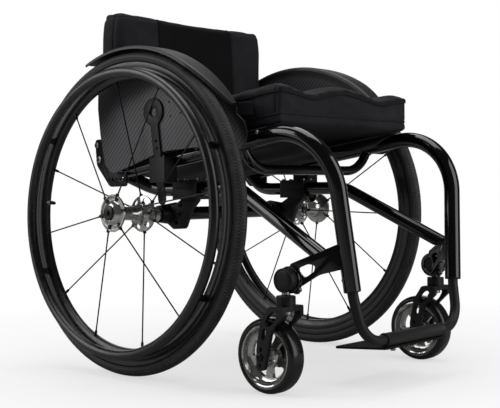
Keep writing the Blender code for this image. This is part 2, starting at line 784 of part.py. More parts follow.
def release_axle(wheel_middle, axle_line):
    """Shaft and head, with the button's socket in the head."""
    shaft_end = receiver_start - AXLE_PAST_RECEIVER - WHEEL_TRACK_HALF
    axle = lathe(
        [
            (axle_head_end, 0),
            (axle_head_end, AXLE_HEAD_RADIUS - AXLE_HEAD_CHAMFER),
            (axle_head_end - AXLE_HEAD_CHAMFER, AXLE_HEAD_RADIUS),
            (axle_head_start, AXLE_HEAD_RADIUS),
            (axle_head_start, AXLE_RADIUS),
            (shaft_end, AXLE_RADIUS),
            (shaft_end, 0),
        ],
        facing(wheel_middle, axle_line),
        16,
    )
    floor = wheel_middle + axle_line * (axle_head_end - BUTTON_SOCKET_DEPTH)
    mouth = wheel_middle + axle_line * (axle_head_end + CUT_PAST)
    return cut(axle, rod(floor, mouth, BUTTON_RADIUS + FIT))


def release_button(axle_line):
    """The button, its outer face at its own origin."""
    length = BUTTON_PROUD + BUTTON_SOCKET_DEPTH - BUTTON_TRAVEL - 2 * FIT
    return rod(-axle_line * length, Vector(), BUTTON_RADIUS)


def caster_housing(side):
    """Barrel with a spigot for the arm's clamp ring, bored from below for the stem."""
    barrel_end = STEM_Y + HOUSING_OVERHANG
    dome = [
        (barrel_end + HOUSING_DOME * out, HOUSING_RADIUS * share) for out, share in HOUSING_DOME_POINTS
    ]
    housing = lathe(
        [
            (CLAMP_INNER, 0),
            (CLAMP_INNER, SPIGOT_RADIUS),
            (CLAMP_OUTER + FIT, SPIGOT_RADIUS),
            (CLAMP_OUTER + FIT, HOUSING_RADIUS),
            *dome,
        ],
        facing((STEM_X, 0, HOUSING_Z), (0, side, 0)),
        20,
    )
    bore_low = (STEM_X, side * STEM_Y, FORK_CUP_TOP)
    bore_top = (STEM_X, side * STEM_Y, STEM_TOP + FIT)
    return cut(housing, rod(bore_low, bore_top, STEM_RADIUS + FIT, sides=16))


def caster_fork():
    """The fork about its own stem axis, with windows and holes through both blades."""
    half_through = FORK_OUTER_HALF + CUT_PAST
    cup = rod((0, 0, FORK_CROWN), (0, 0, FORK_CUP_TOP), FORK_CUP_RADIUS, sides=16)
    fork = fuse(slab(rounded(FORK_OUTLINE), -FORK_OUTER_HALF, FORK_OUTER_HALF), cup)
    holes = [
        oblong(FORK_LOW_WINDOW, FORK_LOW_WINDOW_SIZE, FORK_LOW_WINDOW_LEAN),
        oblong(FORK_HIGH_WINDOW, FORK_HIGH_WINDOW_SIZE, FORK_HIGH_WINDOW_LEAN),
        circle((-CASTER_TRAIL, CASTER_RADIUS), CASTER_AXLE_RADIUS + FIT, 10),
    ]
    holes += [circle(spot, FORK_SPARE_RADIUS, 6) for spot in FORK_SPARE_HOLES]
    slot_reach = CASTER_TRAIL + CASTER_RADIUS
    return cut(
        fork,
        block((-slot_reach, -FORK_SLOT_HALF, 0), (slot_reach, FORK_SLOT_HALF, FORK_CROWN)),
        rod((0, 0, FORK_CROWN - FIT), (0, 0, FORK_CUP_TOP + FIT), STEM_RADIUS + FIT, sides=16),
        together([slab(hole, -half_through, half_through) for hole in holes]),
    )


def stem_bolt():
    head_top = FORK_CROWN - FIT
    return lathe(
        [
            (head_top - STEM_HEAD_HEIGHT, 0),
            (head_top - STEM_HEAD_HEIGHT, STEM_HEAD_RADIUS),
            (head_top, STEM_HEAD_RADIUS),
            (head_top, STEM_RADIUS),
            (STEM_TOP, STEM_RADIUS),
            (STEM_TOP, 0),
        ],
        Matrix.Identity(4),
        16,
    )


def headed_bolt(head_low, low, high, head_high, radius, head_radius, frame):
    """A bolt with a head at either end; the distances are measured along the frame's Z."""
    return lathe(
        [
            (head_low, 0),
            (head_low, head_radius),
            (low, head_radius),
            (low, radius),
            (high, radius),
            (high, head_radius),
            (head_high, head_radius),
            (head_high, 0),
        ],
        frame,
        12,
    )


def caster_bolt(side):
    seat = FORK_OUTER_HALF + FIT
    end = seat + CASTER_AXLE_HEAD_HEIGHT
    frame = facing((-CASTER_TRAIL, 0, CASTER_RADIUS), (0, side, 0))
    return headed_bolt(-end, -seat, seat, end, CASTER_AXLE_RADIUS, CASTER_AXLE_HEAD_RADIUS, frame)


def caster_rim(rolling):
    """The polished centre: a barrel, a web with round holes and a boss."""
    barrel = caster_rim_radius - FIT
    inside = barrel - CASTER_RIM_WALL
    foot = CASTER_BOSS_RADIUS + CASTER_BOSS_DRAFT
    bore = CASTER_AXLE_RADIUS + FIT
    half = [
        (CASTER_BOSS_HALF, bore),
        (CASTER_BOSS_HALF, CASTER_BOSS_RADIUS),
        (CASTER_WEB_HALF, foot),
        (CASTER_WEB_HALF, inside - CASTER_RIM_DRAFT),
        (CASTER_RIM_HALF, inside),
        (CASTER_RIM_HALF, barrel),
    ]
    profile = half + [(-height, radius) for height, radius in reversed(half)]
    holes = []
    for k in range(CASTER_HOLES):
        turn = math.tau * (k + 0.25) / CASTER_HOLES
        centre = (CASTER_HOLE_CIRCLE * math.cos(turn), CASTER_HOLE_CIRCLE * math.sin(turn))
        holes.append(slab(circle(centre, CASTER_HOLE_RADIUS, 6), -CASTER_BOSS_HALF, CASTER_BOSS_HALF))
    return cut(lathe(profile, rolling, CASTER_SIDES, bored=True), together(holes))


def caster_tyre(rolling):
    half = [
        (CASTER_RIM_HALF, caster_rim_radius),
        (CASTER_HALF_WIDTH, CASTER_RADIUS - CASTER_SHOULDER_DROP),
        (CASTER_HALF_WIDTH * 0.75, CASTER_RADIUS - CASTER_CROWN_DROP),
        (CASTER_HALF_WIDTH * 0.45, CASTER_RADIUS),
    ]
    profile = half + [(-height, radius) for height, radius in reversed(half)]
    return lathe(profile, rolling, CASTER_SIDES, bored=True)


def wheel_tyre(rolling):
    """The tyre's round section, cut off above the rim's edge and ending in beads between the rim's edges."""
    section = TYRE_WIDTH / 2
    first = math.asin((rim_edge + TYRE_LIFT - wheel_centre_radius) / section)
    bead_top = rim_edge + 2 * FIT
    profile = [(-TYRE_BEAD_HALF, bead_top), (-TYRE_BEAD_HALF, rim_bed + FIT)]
    profile += [(TYRE_BEAD_HALF, rim_bed + FIT), (TYRE_BEAD_HALF, bead_top)]
    for step in range(TYRE_STEPS + 1):
        turn = first + (math.pi - 2 * first) * step / TYRE_STEPS
        profile.append((section * math.cos(turn), wheel_centre_radius + section * math.sin(turn)))
    return lathe(profile, rolling, WHEEL_SIDES, bored=True)


def wheel_rim(rolling):
    """The rim with its valve, which stands out of its inner face."""
    half = [
        (RIM_INNER_HALF, rim_inner),
        (RIM_HALF_WIDTH, rim_shoulder),
        (RIM_HALF_WIDTH, rim_edge),
        (TYRE_BEAD_HALF + FIT, rim_edge),
        (TYRE_BEAD_HALF + FIT, rim_bed),
    ]
    profile = half + [(-height, radius) for height, radius in reversed(half)]
    way = Vector((math.cos(VALVE_ANGLE), 0, math.sin(VALVE_ANGLE)))
    valve_end = rim_inner + VALVE_RADIUS
    valve = rod(way * (valve_end - VALVE_LENGTH), way * valve_end, VALVE_RADIUS, sides=8)
    return fuse(lathe(profile, rolling, WHEEL_SIDES, bored=True), valve)


def hand_rim(rolling, side):
    """The hoop and the tabs that bolt it to the rim's side."""
    section = circle((HAND_RIM_OFFSET, hand_rim_radius), HAND_RIM_TUBE_RADIUS, HOOP_SIDES)
    hoop = lathe(section, rolling, WHEEL_SIDES, bored=True)
    tabs = []
    for k in range(SPOKE_COUNT):
        tab = block(
            (-TAB_WIDTH / 2, RIM_HALF_WIDTH + FIT, hand_rim_radius - TAB_THICKNESS / 2),
            (TAB_WIDTH / 2, HAND_RIM_OFFSET - HAND_RIM_TUBE_RADIUS / 2, hand_rim_radius + TAB_THICKNESS / 2),
            side,
        )
        turn = TAB_ANGLE + math.tau * k / SPOKE_COUNT
        tab.transform(Matrix.Rotation(math.pi / 2 - turn, 4, "Y"))
        tabs.append(tab)
    return fuse(hoop, together(tabs))


def hub_shell(rolling):
    """The hub's turned body, from the outer face round to the nose that meets the frame."""
    cone = hub_flange_in - HUB_CONE_DEPTH
    bore = AXLE_RADIUS + FIT
    return lathe(
        [
            (hub_face, bore),
            (hub_face, HUB_LIP_RADIUS),
            (hub_flange_out, HUB_CONE_RADIUS),
            (hub_flange_out, HUB_FLANGE_RADIUS),
            (hub_flange_in, HUB_FLANGE_RADIUS),
            (cone, HUB_NECK_RADIUS),
            (0, HUB_WAIST_RADIUS),
            (-cone, HUB_NECK_RADIUS),
            (-hub_flange_in, HUB_FLANGE_RADIUS),
            (-hub_flange_out, HUB_FLANGE_RADIUS),
            (-hub_flange_out, HUB_CONE_RADIUS),
            (-hub_face, HUB_NOSE_RADIUS),
            (-hub_nose, HUB_NOSE_RADIUS),
            (-hub_nose, bore),
        ],
        rolling,
        16,
        bored=True,
    )


def wheel_hub(rolling, side, first_spoke):
    """The hub with the spokes that are laced to it, and a relief in each flange between two spokes."""
    rim_end = inscribed(rim_inner, WHEEL_SIDES) - FIT
    reliefs = []
    spokes = []
    for k in range(2 * SPOKE_COUNT):
        flange_side = side * (1 if k % 2 == 0 else -1)
        turn = first_spoke + math.pi * k / SPOKE_COUNT
        ray = Vector((math.cos(turn), 0, math.sin(turn)))
        start = ray * (HUB_FLANGE_RADIUS - 2 * SPOKE_RADIUS) + Vector((0, flange_side * HUB_FLANGE_OFFSET, 0))
        end = ray * rim_end + Vector((0, flange_side * SPOKE_RIM_OFFSET, 0))
        spokes.append(rod(start, end, SPOKE_RADIUS, sides=SPOKE_SIDES))
        between = turn + math.pi / SPOKE_COUNT
        centre = (HUB_RELIEF_CIRCLE * math.cos(between), HUB_RELIEF_CIRCLE * math.sin(between))
        outline = circle(centre, HUB_RELIEF_RADIUS, 6)
        reliefs.append(slab(outline, hub_flange_in - HUB_CONE_DEPTH, hub_face + FIT, flange_side))
    return fuse(cut(hub_shell(rolling), together(reliefs)), together(spokes))


def back_bracket(side):
    """The plate on the seat rail's outer side that carries the back's pivot."""
    start_x, start_z = BRACKET_HOLES_START
    holes = [circle((PIVOT_X, PIVOT_Z), PIVOT_BOLT_RADIUS + FIT, 12)]
    for k in range(BRACKET_HOLES):
        holes.append(circle((start_x + k * BRACKET_HOLES_PITCH, start_z), BRACKET_HOLES_RADIUS, 6))
    tools = [slab(hole, bracket_inner - CUT_PAST, bracket_outer + CUT_PAST, side) for hole in holes]
    return cut(slab(rounded(BACK_BRACKET), bracket_inner, bracket_outer, side), together(tools))


def pivot_bolt(side):
    inner = hinge_inner - FIT
    outer = bracket_outer + FIT
    return headed_bolt(
        inner - PIVOT_HEAD_HEIGHT,
        inner,
        outer,
        outer + PIVOT_HEAD_HEIGHT,
        PIVOT_BOLT_RADIUS,
        PIVOT_HEAD_RADIUS,
        facing((PIVOT_X, 0, PIVOT_Z), (0, side, 0)),
    )


def guard_socket(side):
    """The moulded socket saddled on the outside of the seat rail, with a channel for the guard's blade."""
    body = block(
        (SOCKET_REAR, SOCKET_INNER, SOCKET_LOW),
        (SOCKET_FRONT, blade_outer + FIT + SOCKET_WALL, SOCKET_TOP),
        side,
    )
    half = blade_across * (BLADE_WIDTH / 2 + FIT)
    low = BLADE_FOOT - blade_line * BLADE_WIDTH
    outline = [(point.x, point.z) for point in (low - half, low + half, MOUNT_DISC + half, MOUNT_DISC - half)]
    return cut(body, slab(outline, blade_inner - FIT, blade_outer + FIT, side), rail_room(side))


def foot_line(side):
    """The direction up the down tube."""
    return mirrored((RAIL_CORNER - RAIL_FOOT).normalized(), side)


def footrest_tube():
    """The bent tube, with the bush that steps each of its ends up to the down tube's bore."""
    halves = []
    for side in (-1, 1):
        foot = mirrored(RAIL_FOOT, side)
        up_line = foot_line(side)
        corner = Vector((FOOT_X, side * FOOT_CORNER_Y, FOOT_Z))
        halves.append([foot + up_line * FOOT_TUBE_INSERTION, foot - up_line * FOOT_KINK_DROP, corner])
    path = bend(halves[0] + halves[1][::-1], [0, 0, FOOT_BEND, FOOT_BEND, 0, 0], FOOT_STEPS)
    tube = sweep(path, FOOT_TUBE_RADIUS, FOOT_TUBE_WALL, sides=10)
    core = FOOT_TUBE_RADIUS - FOOT_TUBE_WALL / 2
    shell = foot_bore_radius - FIT
    profile = [(FIT, core), (FIT, shell), (FOOT_BUSH_LENGTH, shell), (FOOT_BUSH_LENGTH, core)]
    bushes = [lathe(profile, facing(mirrored(RAIL_FOOT, side), foot_line(side)), 16, bored=True) for side in (-1, 1)]
    return fuse(tube, *bushes)


def footrest_sleeve():
    ends = [Vector((FOOT_X, side * foot_sleeve_half, FOOT_Z)) for side in (-1, 1)]
    bore = (FOOT_TUBE_RADIUS + FIT) / inscribed(1, TUBE_SIDES)
    return sweep(ends, FOOT_SLEEVE_RADIUS, FOOT_SLEEVE_RADIUS - bore)


def footplate():
    """The flat plate bolted under the sleeve, tilted about the tube."""
    outline = rounded(
        [
            (-PLATE_BEHIND, -PLATE_HALF_WIDTH, PLATE_REAR_CORNER),
            (PLATE_AHEAD, -PLATE_HALF_WIDTH, PLATE_FRONT_CORNER),
            (PLATE_AHEAD, PLATE_HALF_WIDTH, PLATE_FRONT_CORNER),
            (-PLATE_BEHIND, PLATE_HALF_WIDTH, PLATE_REAR_CORNER),
        ]
    )
    top = -FOOT_SLEEVE_RADIUS - FIT
    plate = skin([[Vector((x, y, z)) for x, y in outline] for z in (top - PLATE_THICKNESS, top)])
    plate.transform(Matrix.Translation((FOOT_X, 0, FOOT_Z)) @ Matrix.Rotation(-PLATE_TILT, 4, "Y"))
    return plate


def sling_half():
    """The cloth from its left edge to the middle: offsets from the left rail's axis, and the way out of the cloth."""
    cling = RAIL_RADIUS + FIT
    cloth = []
    for step in range(WRAP_STEPS + 1):
        turn = -SLING_WRAP + (SLING_LEAVE + SLING_WRAP) * step / WRAP_STEPS
        lean = Vector((0, -math.sin(turn), math.cos(turn)))
        cloth.append((lean * cling, lean))
    hang = SEAT_HALF - cling * math.sin(SLING_LEAVE)
    drop = hang * math.tan(SLING_LEAVE) / 2
    for step in range(1, HANG_STEPS // 2 + 1):
        share = 1 - 2 * step / HANG_STEPS
        slope = math.atan(share * math.tan(SLING_LEAVE))
        point = Vector((0, hang * share - SEAT_HALF, cling * math.cos(SLING_LEAVE) - drop * (1 - share * share)))
        cloth.append((point, Vector((0, -math.sin(slope), math.cos(slope)))))
    return cloth


def seat_sling():
    """Cloth wrapped over both rails and hanging between them."""
    half = sling_half()
    cloth = half + [(Vector((0, -2 * SEAT_HALF - p.y, p.z)), Vector((0, -n.y, n.z))) for p, n in half[-2::-1]]
    rings = []
    for share in (0, 1 / 3, 2 / 3, 1):
        x = SLING_REAR + (SLING_FRONT - SLING_REAR) * share
        rail = Vector((x, SEAT_HALF, rail_height(x)))
        over = [rail + point + lean * SLING_THICKNESS for point, lean in cloth]
        under = [rail + point for point, lean in cloth]
        rings.append(over + under[::-1])
    return skin(rings)


def cushion_top(across, along, inset):
    """Height of the cushion's top above its base, at shares across (-1 to 1) and along (0 to 1)."""
    y = abs(across) * (CUSHION_HALF_WIDTH - inset)
    rolled = max(0.0, (abs(across) - 1 + CUSHION_EDGE_BAND) / CUSHION_EDGE_BAND)
    channel = CUSHION_CHANNEL * math.exp(-(((y - CUSHION_CHANNEL_Y) / CUSHION_CHANNEL_WIDTH) ** 2))
    channel *= CUSHION_CHANNEL_REAR_SHARE + (1 - CUSHION_CHANNEL_REAR_SHARE) * along
    crown = CUSHION_CROWN * (1 - across**2 + math.sin(math.pi * along))
    return CUSHION_THICKNESS + crown - channel - CUSHION_EDGE * rolled**2 - inset


def seat_cushion():
    """The cushion in cross-sections from back to front."""
    length_steps, width_steps = CUSHION_STEPS
    length = CUSHION_FRONT - CUSHION_REAR
    roll = CUSHION_EDGE * CUSHION_ROLL
    rings = []
    for i in range(length_steps + 1):
        along = i / length_steps
        x = CUSHION_REAR + along * length
        base = rail_height(x) + cushion_seat
        near_end = max(0.0, 1 - min(along, 1 - along) * length / CUSHION_EDGE)
        inset = roll * (1 - math.sqrt(1 - near_end * near_end))
        half = CUSHION_HALF_WIDTH - inset
        top = []
        for j in range(width_steps + 1):
            across = 2 * j / width_steps - 1
            top.append(Vector((x, half * across, base + cushion_top(across, along, inset))))
        edge = [
            (half - CUSHION_SIDE_DRAW, CUSHION_THICKNESS * CUSHION_WAIST),
            (half, roll + inset / 2),
            (half - roll, 0),
        ]
        left = [Vector((x, y, base + z)) for y, z in edge]
        right = [Vector((x, -y, base + z)) for y, z in reversed(edge)]
        rings.append(top + left + right)
    return skin(rings)


def back_cane(side):
    start = (CANE_X, side * CANE_Y, PIVOT_Z + HINGE_FLOOR + FIT)
    return rod(start, (CANE_X, side * CANE_Y, CANE_TOP), CANE_RADIUS)


def back_hinge(side):
    """The block that holds a cane and turns on the pivot bolt."""
    front = CANE_X + CANE_RADIUS + HINGE_WALL
    rear = CANE_X - CANE_RADIUS - HINGE_WALL
    outline = [
        (PIVOT_X - HINGE_RADIUS, PIVOT_Z, 0),
        (PIVOT_X, PIVOT_Z + HINGE_STEP / 4, 0),
        (front, PIVOT_Z + HINGE_STEP, HINGE_WALL / 2),
        (front, HINGE_TOP, HINGE_WALL / 2),
        (rear, HINGE_TOP, HINGE_WALL),
    ]
    lug = rod((PIVOT_X, side * hinge_inner, PIVOT_Z), (PIVOT_X, side * hinge_outer, PIVOT_Z), HINGE_RADIUS, sides=20)
    bore_start = (PIVOT_X, side * (hinge_inner - CUT_PAST), PIVOT_Z)
    bore_end = (PIVOT_X, side * (hinge_outer + CUT_PAST), PIVOT_Z)
    cane_start = (CANE_X, side * CANE_Y, PIVOT_Z + HINGE_FLOOR)
    cane_end = (CANE_X, side * CANE_Y, HINGE_TOP + CUT_PAST)
    return cut(
        fuse(slab(rounded(outline), hinge_inner, hinge_outer, side), lug),
        rod(cane_start, cane_end, CANE_RADIUS + FIT),
        rod(bore_start, bore_end, PIVOT_BOLT_RADIUS + FIT),
    )


def cane_bar():
    """The bar between the canes, notched round them."""
    notches = []
    for side in (-1, 1):
        low = (CANE_X, side * CANE_Y, BAR_Z - 2 * BAR_RADIUS)
        high = (CANE_X, side * CANE_Y, BAR_Z + 2 * BAR_RADIUS)
        notches.append(rod(low, high, bar_to_cane, sides=20))
    return cut(rod((CANE_X, -CANE_Y, BAR_Z), (CANE_X, CANE_Y, BAR_Z), BAR_RADIUS, sides=14), *notches)


def back_half(z):
    """Half the upholstery's width at height z: it swells to the bulge and draws in above it."""
    if z < BACK_BULGE_Z:
        return BACK_HALF_LOW + (BACK_HALF_BULGE - BACK_HALF_LOW) * (z - BACK_LOW) / (BACK_BULGE_Z - BACK_LOW)
    rise = (z - BACK_BULGE_Z) / (BACK_HIGH - BACK_BULGE_Z)
    return BACK_HALF_BULGE + (BACK_HALF_HIGH - BACK_HALF_BULGE) * rise**2


def back_upholstery():
    """Level sections of the cover: hollow in front, flat on the canes behind, with a flap round each cane."""
    pad_rear = CANE_X + inscribed(CANE_RADIUS, TUBE_SIDES) + FIT
    flap_inner = CANE_Y + inscribed(CANE_RADIUS, TUBE_SIDES) + FIT
    flap_rear = CANE_X - BACK_FLAP_OVERLAP
    rings = []
    for level in range(BACK_LEVELS + 1):
        share = level / BACK_LEVELS
        z = BACK_LOW + share * (BACK_HIGH - BACK_LOW)
        half = back_half(z)
        front = BACK_FRONT_LOW + (BACK_FRONT_HIGH - BACK_FRONT_LOW) * share
        wave = min(1.0, BACK_HOLLOW_TOP + (1 - BACK_HOLLOW_TOP) * (1 - share))
        hollow = BACK_HOLLOW * math.sin(math.pi * wave)
        ring = [(front - hollow * (1 - across**2), BACK_SEAM_Y * across) for across in (0.0, 0.5, 1.0)]
        ring.append((front - BACK_FACE_FALL, (BACK_SEAM_Y + half) / 2))
        ring += [(front - back, half - inward) for back, inward in BACK_EDGE]
        ring += [
            (flap_rear + BACK_FLAP_ROUND, half - BACK_FLAP_ROUND / 2),
            (flap_rear, half - BACK_FLAP_ROUND),
            (flap_rear, flap_inner),
            (CANE_X, flap_inner),
            (pad_rear, flap_inner),
            (pad_rear, BACK_SEAM_Y),
        ]
        left = [Vector((x, y, z)) for x, y in ring]
        right = [Vector((x, -y, z)) for x, y in reversed(ring[1:])]
        rings.append(left + [Vector((pad_rear, 0, z))] + right)
    return skin(rings)


def fender_arc():
    """(x, z, angle) points along the top edge of the guard, from its back to its front end."""
    arc = []
    for step in range(FENDER_STEPS + 1):
        turn = FENDER_START + (FENDER_NOSE - FENDER_START) * step / FENDER_STEPS
        arc.append((GUARD_RADIUS * math.cos(turn), axle_height + GUARD_RADIUS * math.sin(turn), turn))
    return arc


def fender_section(turn, side):
    """The fender and its lip across the tyre at one angle, narrowing towards the front end."""
    left = min(1.0, (turn - FENDER_NOSE) / (FENDER_END - FENDER_NOSE))
    width = FENDER_WIDTH * left**FENDER_TAPER
    lip = min(FENDER_LIP, width * 0.4)
    edge = GUARD_INNER + width
    root = GUARD_INNER + 2 * FIT
    section = [
        (GUARD_THICKNESS, root),
        (0, root),
        (0, edge - GUARD_THICKNESS * 0.5),
        (GUARD_THICKNESS * 0.33, edge),
        (lip, edge),
        (lip, edge - GUARD_THICKNESS * 0.8),
        (GUARD_THICKNESS, edge - GUARD_THICKNESS * 0.9),
    ]
    ray = Vector((math.cos(turn), 0, math.sin(turn)))
    return [mirrored(UP * axle_height + ray * (GUARD_RADIUS - drop) + Vector((0, y, 0)), side) for drop, y in section]


def side_guard(side):
    """The flat panel with the fender that turns out of its top edge."""
    arc = fender_arc()
    nose_x, nose_z, _ = arc[-1]
    outline = [(x, z) for x, z, turn in arc]
    outline += [(nose_x + x, nose_z + z) for x, z in GUARD_NOSE]
    outline += GUARD_HEM
    fender = skin([fender_section(turn, side) for x, z, turn in arc[:-1]])
    return fuse(slab(outline, GUARD_INNER, guard_outer, side), fender)


def guard_mount(side):
    """The disc on the guard with the blade that drops into the socket."""
    half = BLADE_WIDTH / 2
    points = []
    for step in range(BLADE_STEPS + 1):
        turn = math.pi + math.pi * step / BLADE_STEPS
        points.append(BLADE_FOOT + blade_across * (half * math.cos(turn)) + blade_line * (half * math.sin(turn)))
    neck = math.asin(half / MOUNT_DISC_RADIUS)
    for step in range(DISC_STEPS + 1):
        turn = -math.pi / 2 + neck + (math.tau - 2 * neck) * step / DISC_STEPS
        out = blade_across * math.cos(turn) + blade_line * math.sin(turn)
        points.append(MOUNT_DISC + out * MOUNT_DISC_RADIUS)
    plate = slab([(point.x, point.z) for point in points], blade_inner, blade_outer, side)
    hole = circle((MOUNT_DISC.x, MOUNT_DISC.z), MOUNT_HOLE_RADIUS, 14)
    return cut(plate, slab(hole, blade_inner - CUT_PAST, blade_outer + CUT_PAST, side))


def new_material(name, colour, metallic, roughness):
    look = bpy.data.materials.new(name)
    look.use_nodes = True
    surface = look.node_tree.nodes["Principled BSDF"]
    surface.inputs["Base Color"].default_value = (*colour, 1.0)
    surface.inputs["Metallic"].default_value = metallic
    surface.inputs["Roughness"].default_value = roughness
    return look


def empty(name, parent, location=(0, 0, 0), tilt=0.0):
    """An empty that carries the pieces which move together."""
    holder = bpy.data.objects.new(name, None)
    bpy.context.scene.collection.objects.link(holder)
    holder.parent = parent
    holder.location = location
    holder.rotation_euler = (tilt, 0, 0)
    return holder


def node(name, shape, look, parent, origin=(0, 0, 0)):
    """Makes the named object of one piece; its own origin is put at origin, in the parent's frame."""
    shape.transform(Matrix.Translation(-Vector(origin)))
    mesh = bpy.data.meshes.new(name)
    shape.to_mesh(mesh)
    shape.free()
    mesh.materials.append(look)
    mesh.shade_smooth()
    mesh.set_sharp_from_angle(angle=SMOOTH_ANGLE)
    piece = bpy.data.objects.new(name, mesh)
    bpy.context.scene.collection.objects.link(piece)
    piece.parent = parent
    piece.location = origin


def folding_node(name, shape, look):
    """A piece of the folding back, moved from the chair's frame into that of the pivot."""
    shape.transform(Matrix.Translation(-Vector((PIVOT_X, 0, PIVOT_Z))))
    node(name, shape, look, fold)


for old in list(bpy.data.objects):
    bpy.data.objects.remove(old)

GLOSS_BLACK = new_material("gloss_black_paint", (0.006, 0.006, 0.007), 0.0, 0.12)
SATIN_BLACK = new_material("satin_black_metal", (0.012, 0.012, 0.013), 0.4, 0.42)
POLISHED = new_material("polished_aluminium", (0.80, 0.80, 0.79), 1.0, 0.16)
STEEL = new_material("bright_steel", (0.56, 0.56, 0.57), 1.0, 0.3)
RUBBER = new_material("black_rubber", (0.018, 0.018, 0.018), 0.0, 0.75)
URETHANE = new_material("black_urethane", (0.014, 0.014, 0.015), 0.0, 0.45)
CLOTH = new_material("black_cloth", (0.013, 0.012, 0.015), 0.0, 0.9)
CARBON = new_material("carbon_composite", (0.045, 0.045, 0.048), 0.0, 0.35)
BLACK_PLASTIC = new_material("black_plastic", (0.02, 0.02, 0.022), 0.0, 0.45)

chair = empty("chair", None, (-middle, 0, 0))
fold = empty("back_fold", chair, (PIVOT_X, 0, PIVOT_Z))

node("front_cross_brace", cross_brace(), GLOSS_BLACK, chair, (BRACE_X, 0, rail_height(BRACE_X) - BRACE_DROP))
node("camber_tube", camber_tube(), GLOSS_BLACK, chair, (0, 0, camber_tube_height))
node("footrest_tube", footrest_tube(), SATIN_BLACK, chair, (FOOT_X, 0, FOOT_Z))
node("footrest_sleeve", footrest_sleeve(), RUBBER, chair, (FOOT_X, 0, FOOT_Z))
node("footplate", footplate(), SATIN_BLACK, chair, (FOOT_X, 0, FOOT_Z))
node("seat_sling", seat_sling(), CLOTH, chair, (SLING_REAR, 0, rail_height(SLING_REAR)))
node("seat_cushion", seat_cushion(), CLOTH, chair, (CUSHION_REAR, 0, rail_height(CUSHION_REAR)))
folding_node("rigidizer_bar", cane_bar(), GLOSS_BLACK)
folding_node("back_upholstery", back_upholstery(), CLOTH)

for side, mark in SIDES:
    stem_spot = Vector((STEM_X, side * STEM_Y, 0))
    ring_spot = (STEM_X, side * CLAMP_INNER, HOUSING_Z)
    node(f"seat_rail_{mark}", seat_rail(side), GLOSS_BLACK, chair, mirrored(RAIL_REAR, side))
    node(f"lower_rail_{mark}", lower_rail(side), GLOSS_BLACK, chair, (LOWER_KNEE_X, side * LOWER_Y, lower_z))
    node(f"caster_arm_{mark}", caster_arm(side), GLOSS_BLACK, chair, ring_spot)
    node(f"caster_housing_{mark}", caster_housing(side), SATIN_BLACK, chair, stem_spot + UP * HOUSING_Z)

    # Axle hardware; the wheel's own axis leans up outboard by the camber
    axle_line = Vector((0, side * math.cos(CAMBER), math.sin(CAMBER)))
    wheel_middle = Vector((0, side * WHEEL_TRACK_HALF, axle_height))
    head_spot = wheel_middle + axle_line * axle_head_end
    receiver_spot = (0, side * receiver_end, camber_tube_height)
    node(f"axle_bracket_{mark}", axle_bracket(side), SATIN_BLACK, chair, (0, side * SLEEVE_OUTER, camber_tube_height))
    node(f"saddle_cap_{mark}", saddle_cap(side), SATIN_BLACK, chair, (SADDLE_REAR, side * LOWER_Y, lower_z))
    receiver = axle_receiver(side, wheel_middle, axle_line)
    node(f"axle_receiver_{mark}", receiver, POLISHED, chair, receiver_spot)
    node(f"quick_release_axle_{mark}", release_axle(wheel_middle, axle_line), SATIN_BLACK, chair, head_spot)
    slider = empty(f"button_slide_{mark}", chair, head_spot + axle_line * BUTTON_PROUD)
    node(f"release_button_{mark}", release_button(axle_line), BLACK_PLASTIC, slider)

    # Fork, turning about its stem, and the caster in it
    rolling = facing((0, 0, 0), (0, side, 0))
    swivel = empty(f"swivel_{mark}", chair, stem_spot)
    caster = empty(f"caster_spin_{mark}", swivel, (-CASTER_TRAIL, 0, CASTER_RADIUS))
    node(f"caster_fork_{mark}", caster_fork(), SATIN_BLACK, swivel)
    node(f"stem_bolt_{mark}", stem_bolt(), STEEL, swivel)
    node(f"caster_axle_{mark}", caster_bolt(side), STEEL, swivel)
    node(f"caster_rim_{mark}", caster_rim(rolling), POLISHED, caster)
    node(f"caster_tyre_{mark}", caster_tyre(rolling), URETHANE, caster)

    # Rear wheel, built upright in its own frame and tilted by the camber
    wheel = empty(f"rear_wheel_{mark}", chair, wheel_middle, side * CAMBER)
    first_spoke = SPOKE_ANGLE_R if side == -1 else SPOKE_ANGLE_L
    node(f"wheel_tyre_{mark}", wheel_tyre(rolling), RUBBER, wheel)
    node(f"wheel_rim_{mark}", wheel_rim(rolling), SATIN_BLACK, wheel)
    node(f"hand_rim_{mark}", hand_rim(rolling, side), SATIN_BLACK, wheel)
    node(f"wheel_hub_{mark}", wheel_hub(rolling, side, first_spoke), POLISHED, wheel)

    # Folding back
    node(f"back_bracket_{mark}", back_bracket(side), SATIN_BLACK, chair, (PIVOT_X, side * bracket_inner, PIVOT_Z))
    node(f"back_pivot_bolt_{mark}", pivot_bolt(side), STEEL, chair, (PIVOT_X, side * bracket_outer, PIVOT_Z))
    folding_node(f"back_cane_{mark}", back_cane(side), GLOSS_BLACK)
    folding_node(f"back_hinge_{mark}", back_hinge(side), SATIN_BLACK)

    # Side guard, lifting out along its blade
    lift = empty(f"guard_lift_{mark}", chair)
    socket_spot = (SOCKET_REAR, side * SOCKET_INNER, SOCKET_LOW)
    node(f"guard_socket_{mark}", guard_socket(side), SATIN_BLACK, chair, socket_spot)
    node(f"side_guard_{mark}", side_guard(side), CARBON, lift)
    node(f"guard_mount_{mark}", guard_mount(side), SATIN_BLACK, lift)
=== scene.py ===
"""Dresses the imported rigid-frame wheelchair: finishes, soft goods, fasteners, floor, light and camera.

Each section follows one piece or one group of like pieces of the real chair, from the frame to the wheels,
the front end, the footrest, the seat, the back and the side guards. Metres throughout, +X forward, +Z up.
"""

import math

import bmesh
import bpy
from mathutils import Matrix, Vector, noise
from mathutils.bvhtree import BVHTree


